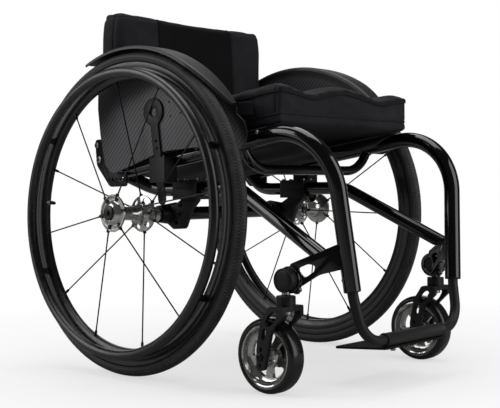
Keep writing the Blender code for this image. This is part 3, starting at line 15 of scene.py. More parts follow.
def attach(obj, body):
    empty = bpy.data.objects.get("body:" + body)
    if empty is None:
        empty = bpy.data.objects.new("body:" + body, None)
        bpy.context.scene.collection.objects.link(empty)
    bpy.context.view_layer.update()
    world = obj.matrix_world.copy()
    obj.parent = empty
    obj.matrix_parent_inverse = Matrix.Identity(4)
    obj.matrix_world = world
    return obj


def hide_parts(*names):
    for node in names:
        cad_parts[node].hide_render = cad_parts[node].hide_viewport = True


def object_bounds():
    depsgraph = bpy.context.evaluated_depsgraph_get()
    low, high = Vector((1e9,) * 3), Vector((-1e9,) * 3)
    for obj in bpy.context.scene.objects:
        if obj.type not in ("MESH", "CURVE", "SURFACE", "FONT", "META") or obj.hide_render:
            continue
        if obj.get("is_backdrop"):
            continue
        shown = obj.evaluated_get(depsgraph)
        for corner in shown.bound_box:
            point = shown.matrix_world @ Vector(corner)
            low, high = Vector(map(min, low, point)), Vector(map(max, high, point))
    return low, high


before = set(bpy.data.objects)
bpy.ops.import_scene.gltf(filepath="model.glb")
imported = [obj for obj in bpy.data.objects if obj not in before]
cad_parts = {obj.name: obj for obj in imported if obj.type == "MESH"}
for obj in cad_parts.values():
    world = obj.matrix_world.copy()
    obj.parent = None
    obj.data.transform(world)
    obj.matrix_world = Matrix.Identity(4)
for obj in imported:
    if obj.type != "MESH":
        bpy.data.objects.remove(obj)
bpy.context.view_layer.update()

# Main frame: two bent rails with their down tubes, and the bars between them.
# Butted aluminium tube, 28.6 mm and 25.4 mm across, TIG welded and sprayed with gloss black
# powder that flows out in the oven and leaves a faint orange peel in the highlights.
MIDDLE = 0.081554  # pieces are drawn from the rear axle, which is this far behind the chair's middle
FROM_AXLE = Matrix.Translation((-MIDDLE, 0, 0))
SIDES = ((-1, "R"), (1, "L"))


def srgb(code):
    """The linear colour of a hex code."""
    parts = [int(code[i : i + 2], 16) / 255 for i in (1, 3, 5)]
    return [c / 12.92 if c <= 0.04045 else ((c + 0.055) / 1.055) ** 2.4 for c in parts] + [1]


def add(tree, kind, inputs, feeds=None, out=None, **settings):
    """Adds a node, sets or links its inputs, feeds its output to a socket, and returns that output.

    The output is the one named out, or else the first that is in use.
    """
    made = tree.nodes.new("ShaderNode" + kind)
    for key, value in settings.items():
        setattr(made, key, value)
    for key, value in inputs.items():
        if isinstance(value, bpy.types.NodeSocket):
            tree.links.new(value, made.inputs[key])
        else:
            made.inputs[key].default_value = value
    given = made.outputs[out] if out else next(socket for socket in made.outputs if socket.enabled)
    if feeds is not None:
        tree.links.new(given, feeds)
    return given


def new_finish(name, constants):
    """A new finish: its material, node tree, shader sockets, and the place on the piece in metres."""
    material = bpy.data.materials.new(name)
    material.use_nodes = True
    tree = material.node_tree
    surface = tree.nodes["Principled BSDF"].inputs
    for socket, value in constants.items():
        surface[socket].default_value = value
    return material, tree, surface, add(tree, "TexCoord", {}, out="Object")


# Gloss powder coat: deep black, wet looking, with soft waves about 3 mm apart.
# A noise's scale is 1000 over the size of its blotches in millimetres. A MapRange node's inputs
# are the value, the two ends it runs between, and what these become: 0 and 1 where not given.
# A Mix node has its share in 0, two plain numbers in 2 and 3, and two colours in 6 and 7.
powder_coat, tree, surface, place = new_finish(
    "powder_coat_gloss_black", {"IOR": 1.5, "Coat Weight": 0.4, "Coat Roughness": 0.05}
)
waves = add(tree, "TexNoise", {"Vector": place, "Scale": 1000 / 3.2, "Detail": 1})
dust = add(tree, "TexNoise", {"Vector": place, "Scale": 1000 / 45, "Detail": 4, "Roughness": 0.6})
dusty = add(tree, "MapRange", {0: dust, 1: 0.35, 2: 0.7})
add(tree, "Mix", {0: dusty, 6: srgb("#030304"), 7: srgb("#070709")}, surface["Base Color"], data_type="RGBA")
add(tree, "MapRange", {0: dust, 1: 0.3, 2: 0.75, 3: 0.08, 4: 0.15}, surface["Roughness"])
add(tree, "Bump", {"Height": waves, "Distance": 0.000015, "Strength": 0.6}, surface["Normal"])


def bent(corners, radii, steps=16, closed=False):
    """A line through corners with a round bend at each one that has a radius."""
    points = []
    count = len(corners)
    for index, corner in enumerate(corners):
        corner = Vector(corner)
        if not closed and index in (0, count - 1):
            points.append(corner)
            continue
        before = (corner - Vector(corners[index - 1])).normalized()
        after = (Vector(corners[(index + 1) % count]) - corner).normalized()
        angle = before.angle(after)
        if radii[index] == 0 or angle < 1e-4:
            points.append(corner)
            continue
        inward = (after - before * before.dot(after)).normalized()
        start = corner - before * radii[index] * math.tan(angle / 2)
        for step in range(steps + 1):
            turn = angle * step / steps
            points.append(start + radii[index] * (before * math.sin(turn) + inward * (1 - math.cos(turn))))
    return points


def skinned(rings, closed=False, capped=True):
    """A surface through rings of points; an open row of rings gets flat ends."""
    shape = bmesh.new()
    rows = [[shape.verts.new(point) for point in ring] for ring in rings]
    count = len(rows)
    for index in range(count if closed else count - 1):
        here, there = rows[index], rows[(index + 1) % count]
        for k in range(len(here)):
            n = (k + 1) % len(here)
            shape.faces.new((here[k], here[n], there[n], there[k]))
    if capped and not closed:
        shape.faces.new(list(reversed(rows[0])))
        shape.faces.new(rows[-1])
    bmesh.ops.recalc_face_normals(shape, faces=shape.faces)
    return shape


def tube(points, radius, sides=32, wall=0.0, closed=False):
    """A round bar along points, or a pipe with a wall. The radius may be a function of the point."""
    count = len(points)
    tangents = []
    for index in range(count):
        behind = points[index - 1] if closed or index else points[0]
        ahead = points[(index + 1) % count] if closed or index < count - 1 else points[-1]
        tangents.append((ahead - behind).normalized())
    across = tangents[0].orthogonal().normalized()
    frames = []
    for index, tangent in enumerate(tangents):
        if index:
            across = tangents[index - 1].rotation_difference(tangent) @ across
        frames.append((across, tangent.cross(across)))
    size = radius if callable(radius) else (lambda index: radius)

    def ring(index, less):
        one, two = frames[index]
        return [
            points[index] + (size(index) - less) * (
                one * math.cos(math.tau * k / sides) + two * math.sin(math.tau * k / sides)
            )
            for k in range(sides)
        ]

    outside = [ring(index, 0) for index in range(count)]
    if wall:
        return skinned(outside + [ring(index, wall) for index in reversed(range(count))], closed=True)
    return skinned(outside, closed)


def piece(name, shape, look, body, stands_for=(), put=FROM_AXLE, edge=0.0, crease=32):
    """Makes the named piece, eases its sharp edges by edge, and lets it ride on its CAD body."""
    mesh = bpy.data.meshes.new(name)
    shape.to_mesh(mesh)
    shape.free()
    mesh.materials.append(look)
    mesh.shade_smooth()
    if not edge:
        mesh.set_sharp_from_angle(angle=math.radians(crease))
    made = bpy.data.objects.new(name, mesh)
    bpy.context.scene.collection.objects.link(made)
    made.matrix_world = put
    if edge:
        easing = made.modifiers.new("Eased edges", "BEVEL")
        easing.width = edge
        easing.segments = 2
        easing.limit_method = "ANGLE"
        easing.angle_limit = math.radians(crease)
        easing.harden_normals = True
    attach(made, body)
    if stands_for:
        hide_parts(*stands_for)
    return made


def merged(*shapes):
    whole = bmesh.new()
    for shape in shapes:
        part = bpy.data.meshes.new("part")
        shape.to_mesh(part)
        whole.from_mesh(part)
        bpy.data.meshes.remove(part)
        shape.free()
    return whole


def on_side(point, side):
    return Vector((point[0], side * point[1], point[2]))


def seam_points(start, along, radius, onto, onto_along, onto_radius, steps=56):
    """Where a round tube that runs along meets the skin of another round tube."""
    along = Vector(along).normalized()
    onto_along = Vector(onto_along).normalized()
    one = along.orthogonal().normalized()
    two = along.cross(one)
    flat_along = along - onto_along * along.dot(onto_along)
    points = []
    for k in range(steps):
        turn = math.tau * k / steps
        edge = Vector(start) + radius * (one * math.cos(turn) + two * math.sin(turn))
        offset = edge - Vector(onto)
        offset -= onto_along * offset.dot(onto_along)
        half = offset.dot(flat_along)
        square = flat_along.length_squared
        inside = half * half - square * (offset.length_squared - onto_radius * onto_radius)
        reach = (-half - math.sqrt(max(inside, 0.0))) / square
        points.append(edge + along * reach)
    return points


def weld_bead(points, size=0.0021):
    """A hand-laid bead: a low rope with the overlapping puddles of the torch."""
    return tube(
        points, lambda index: size * (1 + 0.10 * math.cos(math.tau * index / 4)), sides=10, closed=True
    )


RAIL_RADIUS = 0.0143
RAIL_REAR = Vector((-0.135, 0.183, 0.369))
RAIL_CORNER = Vector((0.4139, 0.183, 0.4448))
RAIL_FOOT = Vector((0.4333, 0.1517, 0.1705))
LOWER_RADIUS = 0.0127
LOWER_REAR = Vector((-0.105, 0.183, 0.3731))
LOWER_KNEE = Vector((-0.035, 0.1525, 0.339))
LOWER_HIP = Vector((0.183, 0.1525, 0.339))
LOWER_END = Vector((0.410, 0.1894, 0.2227))
ARM_ROOT_TOP = Vector((0.4296, 0.158, 0.252))
ARM_TIP_TOP = Vector((0.3515, 0.2098, 0.214))
BRACE_X = 0.22
BRACE_Z = 0.3717
BRACE_RADIUS = 0.009
CAMBER_TUBE_RADIUS = 0.0127
CAMBER_TUBE_HALF = 0.1845
CAMBER = math.radians(2)
AXLE_HEIGHT = (0.296 - 0.0125) * math.cos(CAMBER) + 0.0125
CAMBER_TUBE_HEIGHT = AXLE_HEIGHT - (0.2554 - 0.175) * math.tan(CAMBER)


def rail_height(x):
    share = (x - RAIL_REAR.x) / (RAIL_CORNER.x - RAIL_REAR.x)
    return RAIL_REAR.z + share * (RAIL_CORNER.z - RAIL_REAR.z)


rail_line = (RAIL_CORNER - RAIL_REAR).normalized()
for side, mark in SIDES:
    rail_path = bent([on_side(p, side) for p in (RAIL_REAR, RAIL_CORNER, RAIL_FOOT)], [0, 0.11, 0], 30)
    piece(
        f"main_rail_{mark}",
        tube(rail_path, RAIL_RADIUS, 40, wall=0.002),
        powder_coat,
        "chair",
        [f"seat_rail_{mark}"],
    )

    lower_corners = [on_side(p, side) for p in (LOWER_REAR, LOWER_KNEE, LOWER_HIP, LOWER_END)]
    rear_cut = lower_corners[0].lerp(lower_corners[1], 0.02)
    lower_path = bent([rear_cut, *lower_corners[1:]], [0, 0.09, 0.08, 0], 14)
    lower_tube = tube(lower_path, LOWER_RADIUS, 40)
    # The front end is sawn off along the top of the caster arm that it is welded to.
    down_arm = on_side(ARM_TIP_TOP - ARM_ROOT_TOP, side)
    level = Vector((-down_arm.y, down_arm.x, 0))
    upward = down_arm.cross(level).normalized()
    upward *= math.copysign(1, upward.z)
    everything = [*lower_tube.verts, *lower_tube.edges, *lower_tube.faces]
    sawn = bmesh.ops.bisect_plane(
        lower_tube, geom=everything, plane_co=on_side(ARM_ROOT_TOP, side), plane_no=upward, clear_inner=True
    )
    sawn_edges = [item for item in sawn["geom_cut"] if isinstance(item, bmesh.types.BMEdge)]
    bmesh.ops.edgeloop_fill(lower_tube, edges=sawn_edges)
    piece(f"lower_tube_{mark}", lower_tube, powder_coat, "chair", [f"lower_rail_{mark}"])
    beads = [
        weld_bead(
            seam_points(
                lower_corners[1],
                lower_corners[0] - lower_corners[1],
                LOWER_RADIUS,
                on_side(RAIL_REAR, side),
                on_side(rail_line, side),
                RAIL_RADIUS,
            )
        )
    ]

    brace_knee = Vector((BRACE_X, side * 0.163, BRACE_Z))
    brace_up = Vector((BRACE_X, side * RAIL_REAR.y, rail_height(BRACE_X))) - brace_knee
    beads.append(
        weld_bead(
            seam_points(
                brace_knee, brace_up, BRACE_RADIUS, on_side(RAIL_REAR, side),
                on_side(rail_line, side), RAIL_RADIUS,
            ),
            0.0018,
        )
    )
    piece(f"weld_beads_{mark}", merged(*beads), powder_coat, "chair")

brace_end = Vector((BRACE_X, 0.1815, rail_height(BRACE_X) - 0.0035))
brace_knees = [(BRACE_X, -0.163, BRACE_Z), (BRACE_X, 0.163, BRACE_Z)]
brace_path = bent([on_side(brace_end, -1), *brace_knees, brace_end], [0, 0.072, 0.072, 0], 18)
piece(
    "cross_brace",
    tube(brace_path, BRACE_RADIUS, 32),
    powder_coat,
    "chair",
    ["front_cross_brace"],
)


def turned(profile, sides=48, bored=False):
    """Turns (height, radius) points round Z. A bored profile is a closed loop; others end on the axis."""
    shape = bmesh.new()
    rows = []
    for height, radius in profile:
        if radius == 0:
            rows.append([shape.verts.new((0, 0, height))] * sides)
        else:
            rows.append(
                [
                    shape.verts.new(
                        (
                            radius * math.cos(math.tau * k / sides),
                            radius * math.sin(math.tau * k / sides),
                            height,
                        )
                    )
                    for k in range(sides)
                ]
            )
    count = len(rows)
    for index in range(count if bored else count - 1):
        here, there = rows[index], rows[(index + 1) % count]
        for k in range(sides):
            n = (k + 1) % sides
            corners = []
            for vert in (here[k], here[n], there[n], there[k]):
                if vert not in corners:
                    corners.append(vert)
            if len(corners) > 2:
                shape.faces.new(corners)
    bmesh.ops.recalc_face_normals(shape, faces=shape.faces)
    return shape


def facing(origin, axis):
    """A placement at origin whose Z runs along axis."""
    return Matrix.Translation(origin) @ Vector(axis).to_track_quat("Z", "Y").to_matrix().to_4x4()


def moved(shape, matrix):
    shape.transform(matrix)
    return shape


piece(
    "camber_tube_painted",
    moved(
        turned(
            [
                (-CAMBER_TUBE_HALF, 0.0109),
                (CAMBER_TUBE_HALF, 0.0109),
                (CAMBER_TUBE_HALF, CAMBER_TUBE_RADIUS),
                (-CAMBER_TUBE_HALF, CAMBER_TUBE_RADIUS),
            ],
            48,
            bored=True,
        ),
        facing((0, 0, CAMBER_TUBE_HEIGHT), (0, 1, 0)),
    ),
    powder_coat,
    "chair",
    ["camber_tube"],
    edge=0.0004,
)

# Tube plugs and frame screws.
# Moulded nylon plugs close the open tube ends, with the fine spark-eroded grain of their mould;
# socket-head screws of zinc-plated steel, M5 and M6, hold the brackets.
moulded_nylon, tree, surface, place = new_finish(
    "moulded_nylon_black", {"Roughness": 0.55, "Specular IOR Level": 0.3, "IOR": 1.53}
)
cast = add(tree, "TexNoise", {"Vector": place, "Scale": 1000 / 30, "Detail": 3})
add(tree, "Mix", {0: cast, 6: srgb("#0e0e10"), 7: srgb("#161618")}, surface["Base Color"], data_type="RGBA")
grain = add(tree, "TexNoise", {"Vector": place, "Scale": 1000 / 0.9, "Detail": 3, "Roughness": 0.6})
add(tree, "Bump", {"Height": grain, "Distance": 0.00003, "Strength": 0.7}, surface["Normal"])

# Zinc passivates to a slightly uneven grey: brighter and duller clouds, with fine pits between.
zinc_steel, tree, surface, place = new_finish("zinc_plated_steel", {"Metallic": 1.0})
cloud = add(tree, "TexNoise", {"Vector": place, "Scale": 1000 / 6, "Detail": 3})
add(tree, "Mix", {0: cloud, 6: srgb("#8f9092"), 7: srgb("#b9babc")}, surface["Base Color"], data_type="RGBA")
smear = add(tree, "TexNoise", {"Vector": place, "Scale": 1000 / 3, "Detail": 3})
add(tree, "MapRange", {0: smear, 1: 0.3, 2: 0.7, 3: 0.22, 4: 0.38}, surface["Roughness"])
pits = add(tree, "TexNoise", {"Vector": place, "Scale": 1000 / 0.7})
add(tree, "Bump", {"Height": pits, "Distance": 0.00001, "Strength": 0.5}, surface["Normal"])


def cap_screw(size, head=None, height=None, dished=True):
    """A socket-head or button-head screw of nominal size, head up along Z, standing on z = 0."""
    head = head or size * 0.85
    height = height or size * 0.55
    sides = 24
    key = size * 0.36
    hexagon = [
        Vector((key * math.cos(math.tau * k / 6), key * math.sin(math.tau * k / 6), 0)) for k in range(6)
    ]

    def keyed(z):
        ring = []
        for k in range(sides):
            share = k / sides * 6
            first, part = int(share) % 6, share % 1
            ring.append(hexagon[first].lerp(hexagon[(first + 1) % 6], part) + Vector((0, 0, z)))
        return ring

    def circle(radius, z):
        return [
            Vector((radius * math.cos(math.tau * k / sides), radius * math.sin(math.tau * k / sides), z))
            for k in range(sides)
        ]

    top = height * (0.8 if dished else 0.93)
    rows = [
        circle(head, 0), circle(head, height * 0.35), circle(head * 0.93, top),
        circle(head * 0.72, height), keyed(height), keyed(height * 0.3),
    ]
    return skinned(rows)


def screws_at(name, spots, size, look, body, slot, put=FROM_AXLE, **settings):
    """Screws of one size at (point, outward direction) spots, as one piece."""
    heads = [moved(cap_screw(size, **settings), facing(point, way)) for point, way in spots]
    return piece(name, merged(*heads), look, body, put=put, crease=38)


for side, mark in SIDES:
    back = -on_side(rail_line, side)
    plug = turned(
        [
            (-0.012, 0), (-0.012, 0.0120), (0, 0.0121), (0, 0.0141), (0.0012, 0.0141),
            (0.0030, 0.0120), (0.0036, 0),
        ],
        40,
    )
    piece(
        f"rail_end_plug_{mark}",
        moved(plug, facing(on_side(RAIL_REAR, side), back)),
        moulded_nylon,
        "chair",
        edge=0.0003,
    )
    sling_screws = []
    for x in (-0.06, 0.03, 0.12, 0.205, 0.269):
        lean = Vector((0, side * math.sin(math.radians(58)), math.cos(math.radians(58))))
        sling_screws.append(
            (Vector((x, side * RAIL_REAR.y, rail_height(x))) + lean * (RAIL_RADIUS + 0.0005), lean)
        )
    screws_at(f"sling_screws_{mark}", sling_screws[4:], 0.0042, zinc_steel, "chair", "steel")
    screws_at(f"sling_screws_rear_{mark}", sling_screws[:4], 0.0042, zinc_steel, "chair", "steel")

# Axle carriers: a bracket on each side that hangs the camber tube from the lower rail.
# Machined from bar and anodised satin black; two M6 screws clamp the saddle round the rail
# and two more pinch the sleeve round the camber tube.
# Blasting before the anodising leaves a fine even grit and a soft, wide sheen.
satin_anodised, tree, surface, place = new_finish(
    "satin_black_anodised", {"Specular IOR Level": 0.25, "IOR": 1.6}
)
cast = add(tree, "TexNoise", {"Vector": place, "Scale": 1000 / 22, "Detail": 4})
add(tree, "Mix", {0: cast, 6: srgb("#0c0c0d"), 7: srgb("#141415")}, surface["Base Color"], data_type="RGBA")
grit = add(tree, "TexNoise", {"Vector": place, "Scale": 1000 / 0.8, "Detail": 2.5, "Roughness": 0.6})
add(tree, "MapRange", {0: grit, 1: 0.3, 2: 0.7, 3: 0.40, 4: 0.52}, surface["Roughness"])
add(tree, "Bump", {"Height": grit, "Distance": 0.00002, "Strength": 0.5}, surface["Normal"])


def eased(name, source, look, body, edge=0.0006):
    """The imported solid's own shape with its machined edges broken."""
    shape = bmesh.new()
    shape.from_mesh(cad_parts[source].data)
    bmesh.ops.remove_doubles(shape, verts=shape.verts, dist=1e-6)
    bmesh.ops.dissolve_limit(shape, angle_limit=math.radians(1.5), verts=shape.verts, edges=shape.edges)
    made = piece(name, shape, look, body, [source], Matrix.Identity(4), edge=edge, crease=28)
    made.modifiers["Eased edges"].use_clamp_overlap = True
    return made


for side, mark in SIDES:
    eased(f"axle_carrier_{mark}", f"axle_bracket_{mark}", satin_anodised, "chair")
    eased(f"rail_clamp_{mark}", f"saddle_cap_{mark}", satin_anodised, "chair")
    top_screws = [
        (Vector((x, side * (0.1525 + y), 0.3567)), Vector((0, 0, 1)))
        for x in (0.034, 0.086) for y in (-0.0115, 0.0115)
    ]
    screws_at(f"clamp_screws_{mark}", top_screws, 0.0048, zinc_steel, "chair", "steel")
    ear_screws = [
        (Vector((x, side * 0.1602, z)), Vector((0, side, 0)))
        for x, z in ((0.037, 0.3105), (0.0335, 0.2935))
    ]
    screws_at(f"ear_screws_{mark}", ear_screws, 0.0055, satin_anodised, "chair", "satin_black")

# Axle receivers and quick-release axles.
# Turned collars of aluminium, polished; the release axle is hard-anodised steel with a
# flat head and a spring button in its end.
polished_aluminium, tree, surface, place = new_finish("polished_aluminium", {"Metallic": 0.88})
wipes = add(tree, "TexNoise", {"Vector": place, "Scale": 1000 / 9, "Detail": 4, "Roughness": 0.65})
add(tree, "Mix", {0: wipes, 6: srgb("#d9dad8"), 7: srgb("#f0f0ee")}, surface["Base Color"], data_type="RGBA")
add(tree, "MapRange", {0: wipes, 1: 0.3, 2: 0.7, 3: 0.07, 4: 0.16}, surface["Roughness"])
swirls = add(tree, "TexNoise", {"Vector": place, "Scale": 1000 / 1.6})
add(tree, "Bump", {"Height": swirls, "Distance": 0.000012, "Strength": 0.35}, surface["Normal"])

for side, mark in SIDES:
    collar = turned(
        [
            (0.128, 0),
            (0.128, 0.0106),
            (0.1848, 0.0106),
            (0.1848, 0.0132),
            (0.1862, 0.0140),
            (0.1906, 0.0140),
            (0.1912, 0.0134),
            (0.1922, 0.0134),
            (0.1928, 0.0140),
            (0.1964, 0.0140),
            (0.1972, 0.0130),
            (0.1972, 0.0068),
            (0.1900, 0.0066),
            (0.1900, 0),
        ],
        56,
    )
    piece(
        f"axle_collar_{mark}",
        moved(collar, facing((0, 0, CAMBER_TUBE_HEIGHT), (0, side, 0))),
        polished_aluminium,
        "chair",
        [f"axle_receiver_{mark}"],
        crease=25,
    )

WHEEL_TRACK_HALF = 0.2554


def at_wheel(side):
    """The middle of a rear wheel, leaning in at the top by the camber."""
    middle = Matrix.Translation((-MIDDLE, side * WHEEL_TRACK_HALF, AXLE_HEIGHT))
    return middle @ Matrix.Rotation(side * CAMBER, 4, "X")


def outboard(side):
    """Turns a profile's Z to point away from the chair, in the wheel's own frame."""
    return Vector((0, side, 0)).to_track_quat("Z", "Y").to_matrix().to_4x4()


# Hard anodising turns the steel-coloured metal dark grey and leaves it faintly matte.
hard_anodised, tree, surface, place = new_finish("hard_anodised_dark", {"Metallic": 0.55, "Roughness": 0.34})
cast = add(tree, "TexNoise", {"Vector": place, "Scale": 1000 / 8, "Detail": 3})
add(tree, "Mix", {0: cast, 6: srgb("#2a2a2c"), 7: srgb("#3a3a3c")}, surface["Base Color"], data_type="RGBA")
pits = add(tree, "TexNoise", {"Vector": place, "Scale": 1000 / 0.6})
add(tree, "Bump", {"Height": pits, "Distance": 0.00001, "Strength": 0.4}, surface["Normal"])

for side, mark in SIDES:
    axle = turned(
        [
            (0.0478, 0.0051),
            (0.0478, 0.0110),
            (0.0472, 0.0124),
            (0.0462, 0.0130),
            (0.0420, 0.0132),
            (0.0418, 0.0063),
            (-0.1334, 0.0063),
            (-0.1334, 0),
            (0.0430, 0),
            (0.0430, 0.0051),
        ],
        56,
    )
    piece(
        f"release_axle_{mark}",
        moved(axle, outboard(side)),
        hard_anodised,
        "chair",
        [f"quick_release_axle_{mark}"],
        put=at_wheel(side),
        crease=25,
    )
    button = turned(
        [(0.0464, 0), (0.0464, 0.0043), (0.0508, 0.0044), (0.0514, 0.0040), (0.0517, 0.0030), (0.0518, 0)],
        40,
    )
    piece(
        f"axle_button_{mark}",
        moved(button, outboard(side)),
        moulded_nylon,
        f"button_{mark}",
        [f"release_button_{mark}"],
        put=at_wheel(side),
        crease=30,
    )

# Rear tyres.
# 25-540 tyres of black rubber: a slick centre, shoulders with a fine moulded file tread
# and a raised bead line along each sidewall. Dust greys the rubber a little.
TYRE_RADIUS = 0.296
TYRE_SECTION = 0.0125
TYRE_CENTRE = TYRE_RADIUS - TYRE_SECTION

tyre_rubber, tree, surface, place = new_finish(
    "moulded_tyre_rubber", {"Specular IOR Level": 0.35, "IOR": 1.52}
)
spot = add(tree, "SeparateXYZ", {"Vector": place}).node.outputs
around = add(tree, "Math", {0: spot["Z"], 1: spot["X"]}, operation="ARCTAN2")
in_plane = add(tree, "VectorMath", {0: place, 1: (1, 0, 1)}, operation="MULTIPLY")
from_axle = add(tree, "VectorMath", {0: in_plane}, operation="LENGTH")
# The file tread's lozenges are 4 mm long and 3 mm wide, and are drawn at one and a half times that.
TREAD_BLOCKS = round(math.tau * TYRE_RADIUS / 0.006)
lengthwise = add(tree, "Math", {0: around, 1: TREAD_BLOCKS}, operation="MULTIPLY")
crosswise = add(tree, "Math", {0: spot["Y"], 1: math.tau / 0.009}, operation="MULTIPLY")
waves = {}
for index, sign in enumerate(("ADD", "SUBTRACT")):
    slanting = add(tree, "Math", {0: lengthwise, 1: crosswise}, operation=sign)
    waves[index] = add(tree, "Math", {0: slanting}, operation="SINE")
diamonds = add(tree, "Math", waves, operation="MAXIMUM")
on_shoulder = add(tree, "MapRange", {0: from_axle, 1: 0.2896, 2: 0.2908})
sideways = add(tree, "Math", {0: spot["Y"]}, operation="ABSOLUTE")
off_crown = add(tree, "MapRange", {0: sideways, 1: 0.0022, 2: 0.0032})
treaded = add(tree, "Math", {0: on_shoulder, 1: off_crown}, operation="MULTIPLY")
cut_in = add(tree, "MapRange", {0: diamonds, 1: 0.45, 2: 0.8})
sunk = add(tree, "Math", {0: cut_in, 1: treaded}, operation="MULTIPLY")
pebble = add(tree, "TexNoise", {"Vector": place, "Scale": 1000 / 1.1, "Detail": 3, "Roughness": 0.6})
pebbled = add(tree, "Bump", {"Height": pebble, "Distance": 0.00005, "Strength": 0.6})
standing = add(tree, "Math", {0: 1.0, 1: sunk}, operation="SUBTRACT")
add(tree, "Bump", {"Height": standing, "Distance": 0.0009, "Normal": pebbled}, surface["Normal"])
# Dust lies in soft patches on the tread, less in its cuts and down the sidewalls.
patches = add(tree, "TexNoise", {"Vector": place, "Scale": 1000 / 26, "Detail": 5, "Roughness": 0.65})
patches = add(tree, "MapRange", {0: patches, 1: 0.3, 2: 0.7, 3: 0.3})
outward = add(tree, "MapRange", {0: from_axle, 1: 0.280, 2: 0.290, 3: 0.3})
worn = add(tree, "Math", {0: patches, 1: outward}, operation="MULTIPLY")
open_rubber = add(tree, "MapRange", {0: sunk, 3: 1, 4: 0.15})
dusty = add(tree, "Math", {0: worn, 1: open_rubber}, operation="MULTIPLY")
add(tree, "Mix", {0: dusty, 6: srgb("#131314"), 7: srgb("#444446")}, surface["Base Color"], data_type="RGBA")
add(tree, "MapRange", {0: dusty, 3: 0.45, 4: 0.65}, surface["Roughness"])


def sunk_ridge(turn, at, depth, width):
    """How far a small ridge at one place round a section stands out."""
    return depth * math.exp(-(((turn - at) / width) ** 2))


for side, mark in SIDES:
    tyre_profile = [(-0.0083, 0.2708), (0.0083, 0.2708), (0.0083, 0.2771)]
    for step in range(33):
        turn = math.radians(-25 + 230 * step / 32)
        out = TYRE_SECTION
        for degrees in (4, 176):
            out += sunk_ridge(turn, math.radians(degrees), 0.0005, 0.035)
        for degrees in (32, 148):
            out -= sunk_ridge(turn, math.radians(degrees), 0.0005, 0.05)
        tyre_profile.append((out * math.cos(turn), TYRE_CENTRE + out * math.sin(turn)))
    tyre_profile.append((-0.0083, 0.2771))
    piece(
        f"tyre_{mark}",
        moved(turned(tyre_profile, 144, bored=True), outboard(side)),
        tyre_rubber,
        f"wheel_{mark}",
        [f"wheel_tyre_{mark}"],
        put=at_wheel(side),
    )

# Rims, spokes, nipples and valves.
# A deep double-wall rim, extruded, rolled and welded, anodised black and left slightly glossy;
# twelve straight-pull steel spokes, six to a flange, black, in 13 mm black brass nipples.
RIM_INNER = 0.246
black_rim, tree, surface, place = new_finish("gloss_anodised_black", {"IOR": 1.6})
cast = add(tree, "TexNoise", {"Vector": place, "Scale": 1000 / 35, "Detail": 4})
add(tree, "Mix", {0: cast, 6: srgb("#09090a"), 7: srgb("#101012")}, surface["Base Color"], data_type="RGBA")
handled = add(tree, "TexNoise", {"Vector": place, "Scale": 1000 / 12, "Detail": 4})
add(tree, "MapRange", {0: handled, 1: 0.3, 2: 0.7, 3: 0.26, 4: 0.38}, surface["Roughness"])
drawn = add(tree, "TexNoise", {"Vector": place, "Scale": 1000 / 2.4})
add(tree, "Bump", {"Height": drawn, "Distance": 0.000012, "Strength": 0.5}, surface["Normal"])

# Black oxide on drawn steel: dark grey, half shiny, with faint clouds of oil.
black_steel, tree, surface, place = new_finish("black_oxide_steel", {"Metallic": 0.6, "Roughness": 0.33})
oiled = add(tree, "TexNoise", {"Vector": place, "Scale": 1000 / 15, "Detail": 3})
add(tree, "Mix", {0: oiled, 6: srgb("#1c1c1e"), 7: srgb("#2a2a2c")}, surface["Base Color"], data_type="RGBA")
pits = add(tree, "TexNoise", {"Vector": place, "Scale": 1000 / 1.2})
add(tree, "Bump", {"Height": pits, "Distance": 0.00001, "Strength": 0.3}, surface["Normal"])

HUB_FLANGE = 0.0358
HUB_FLANGE_RADIUS = 0.034
FIRST_SPOKE = {"R": math.radians(9.5), "L": math.radians(27.3)}
VALVE_TURN = math.radians(175)


def ray_at(turn):
    return Vector((math.cos(turn), 0, math.sin(turn)))


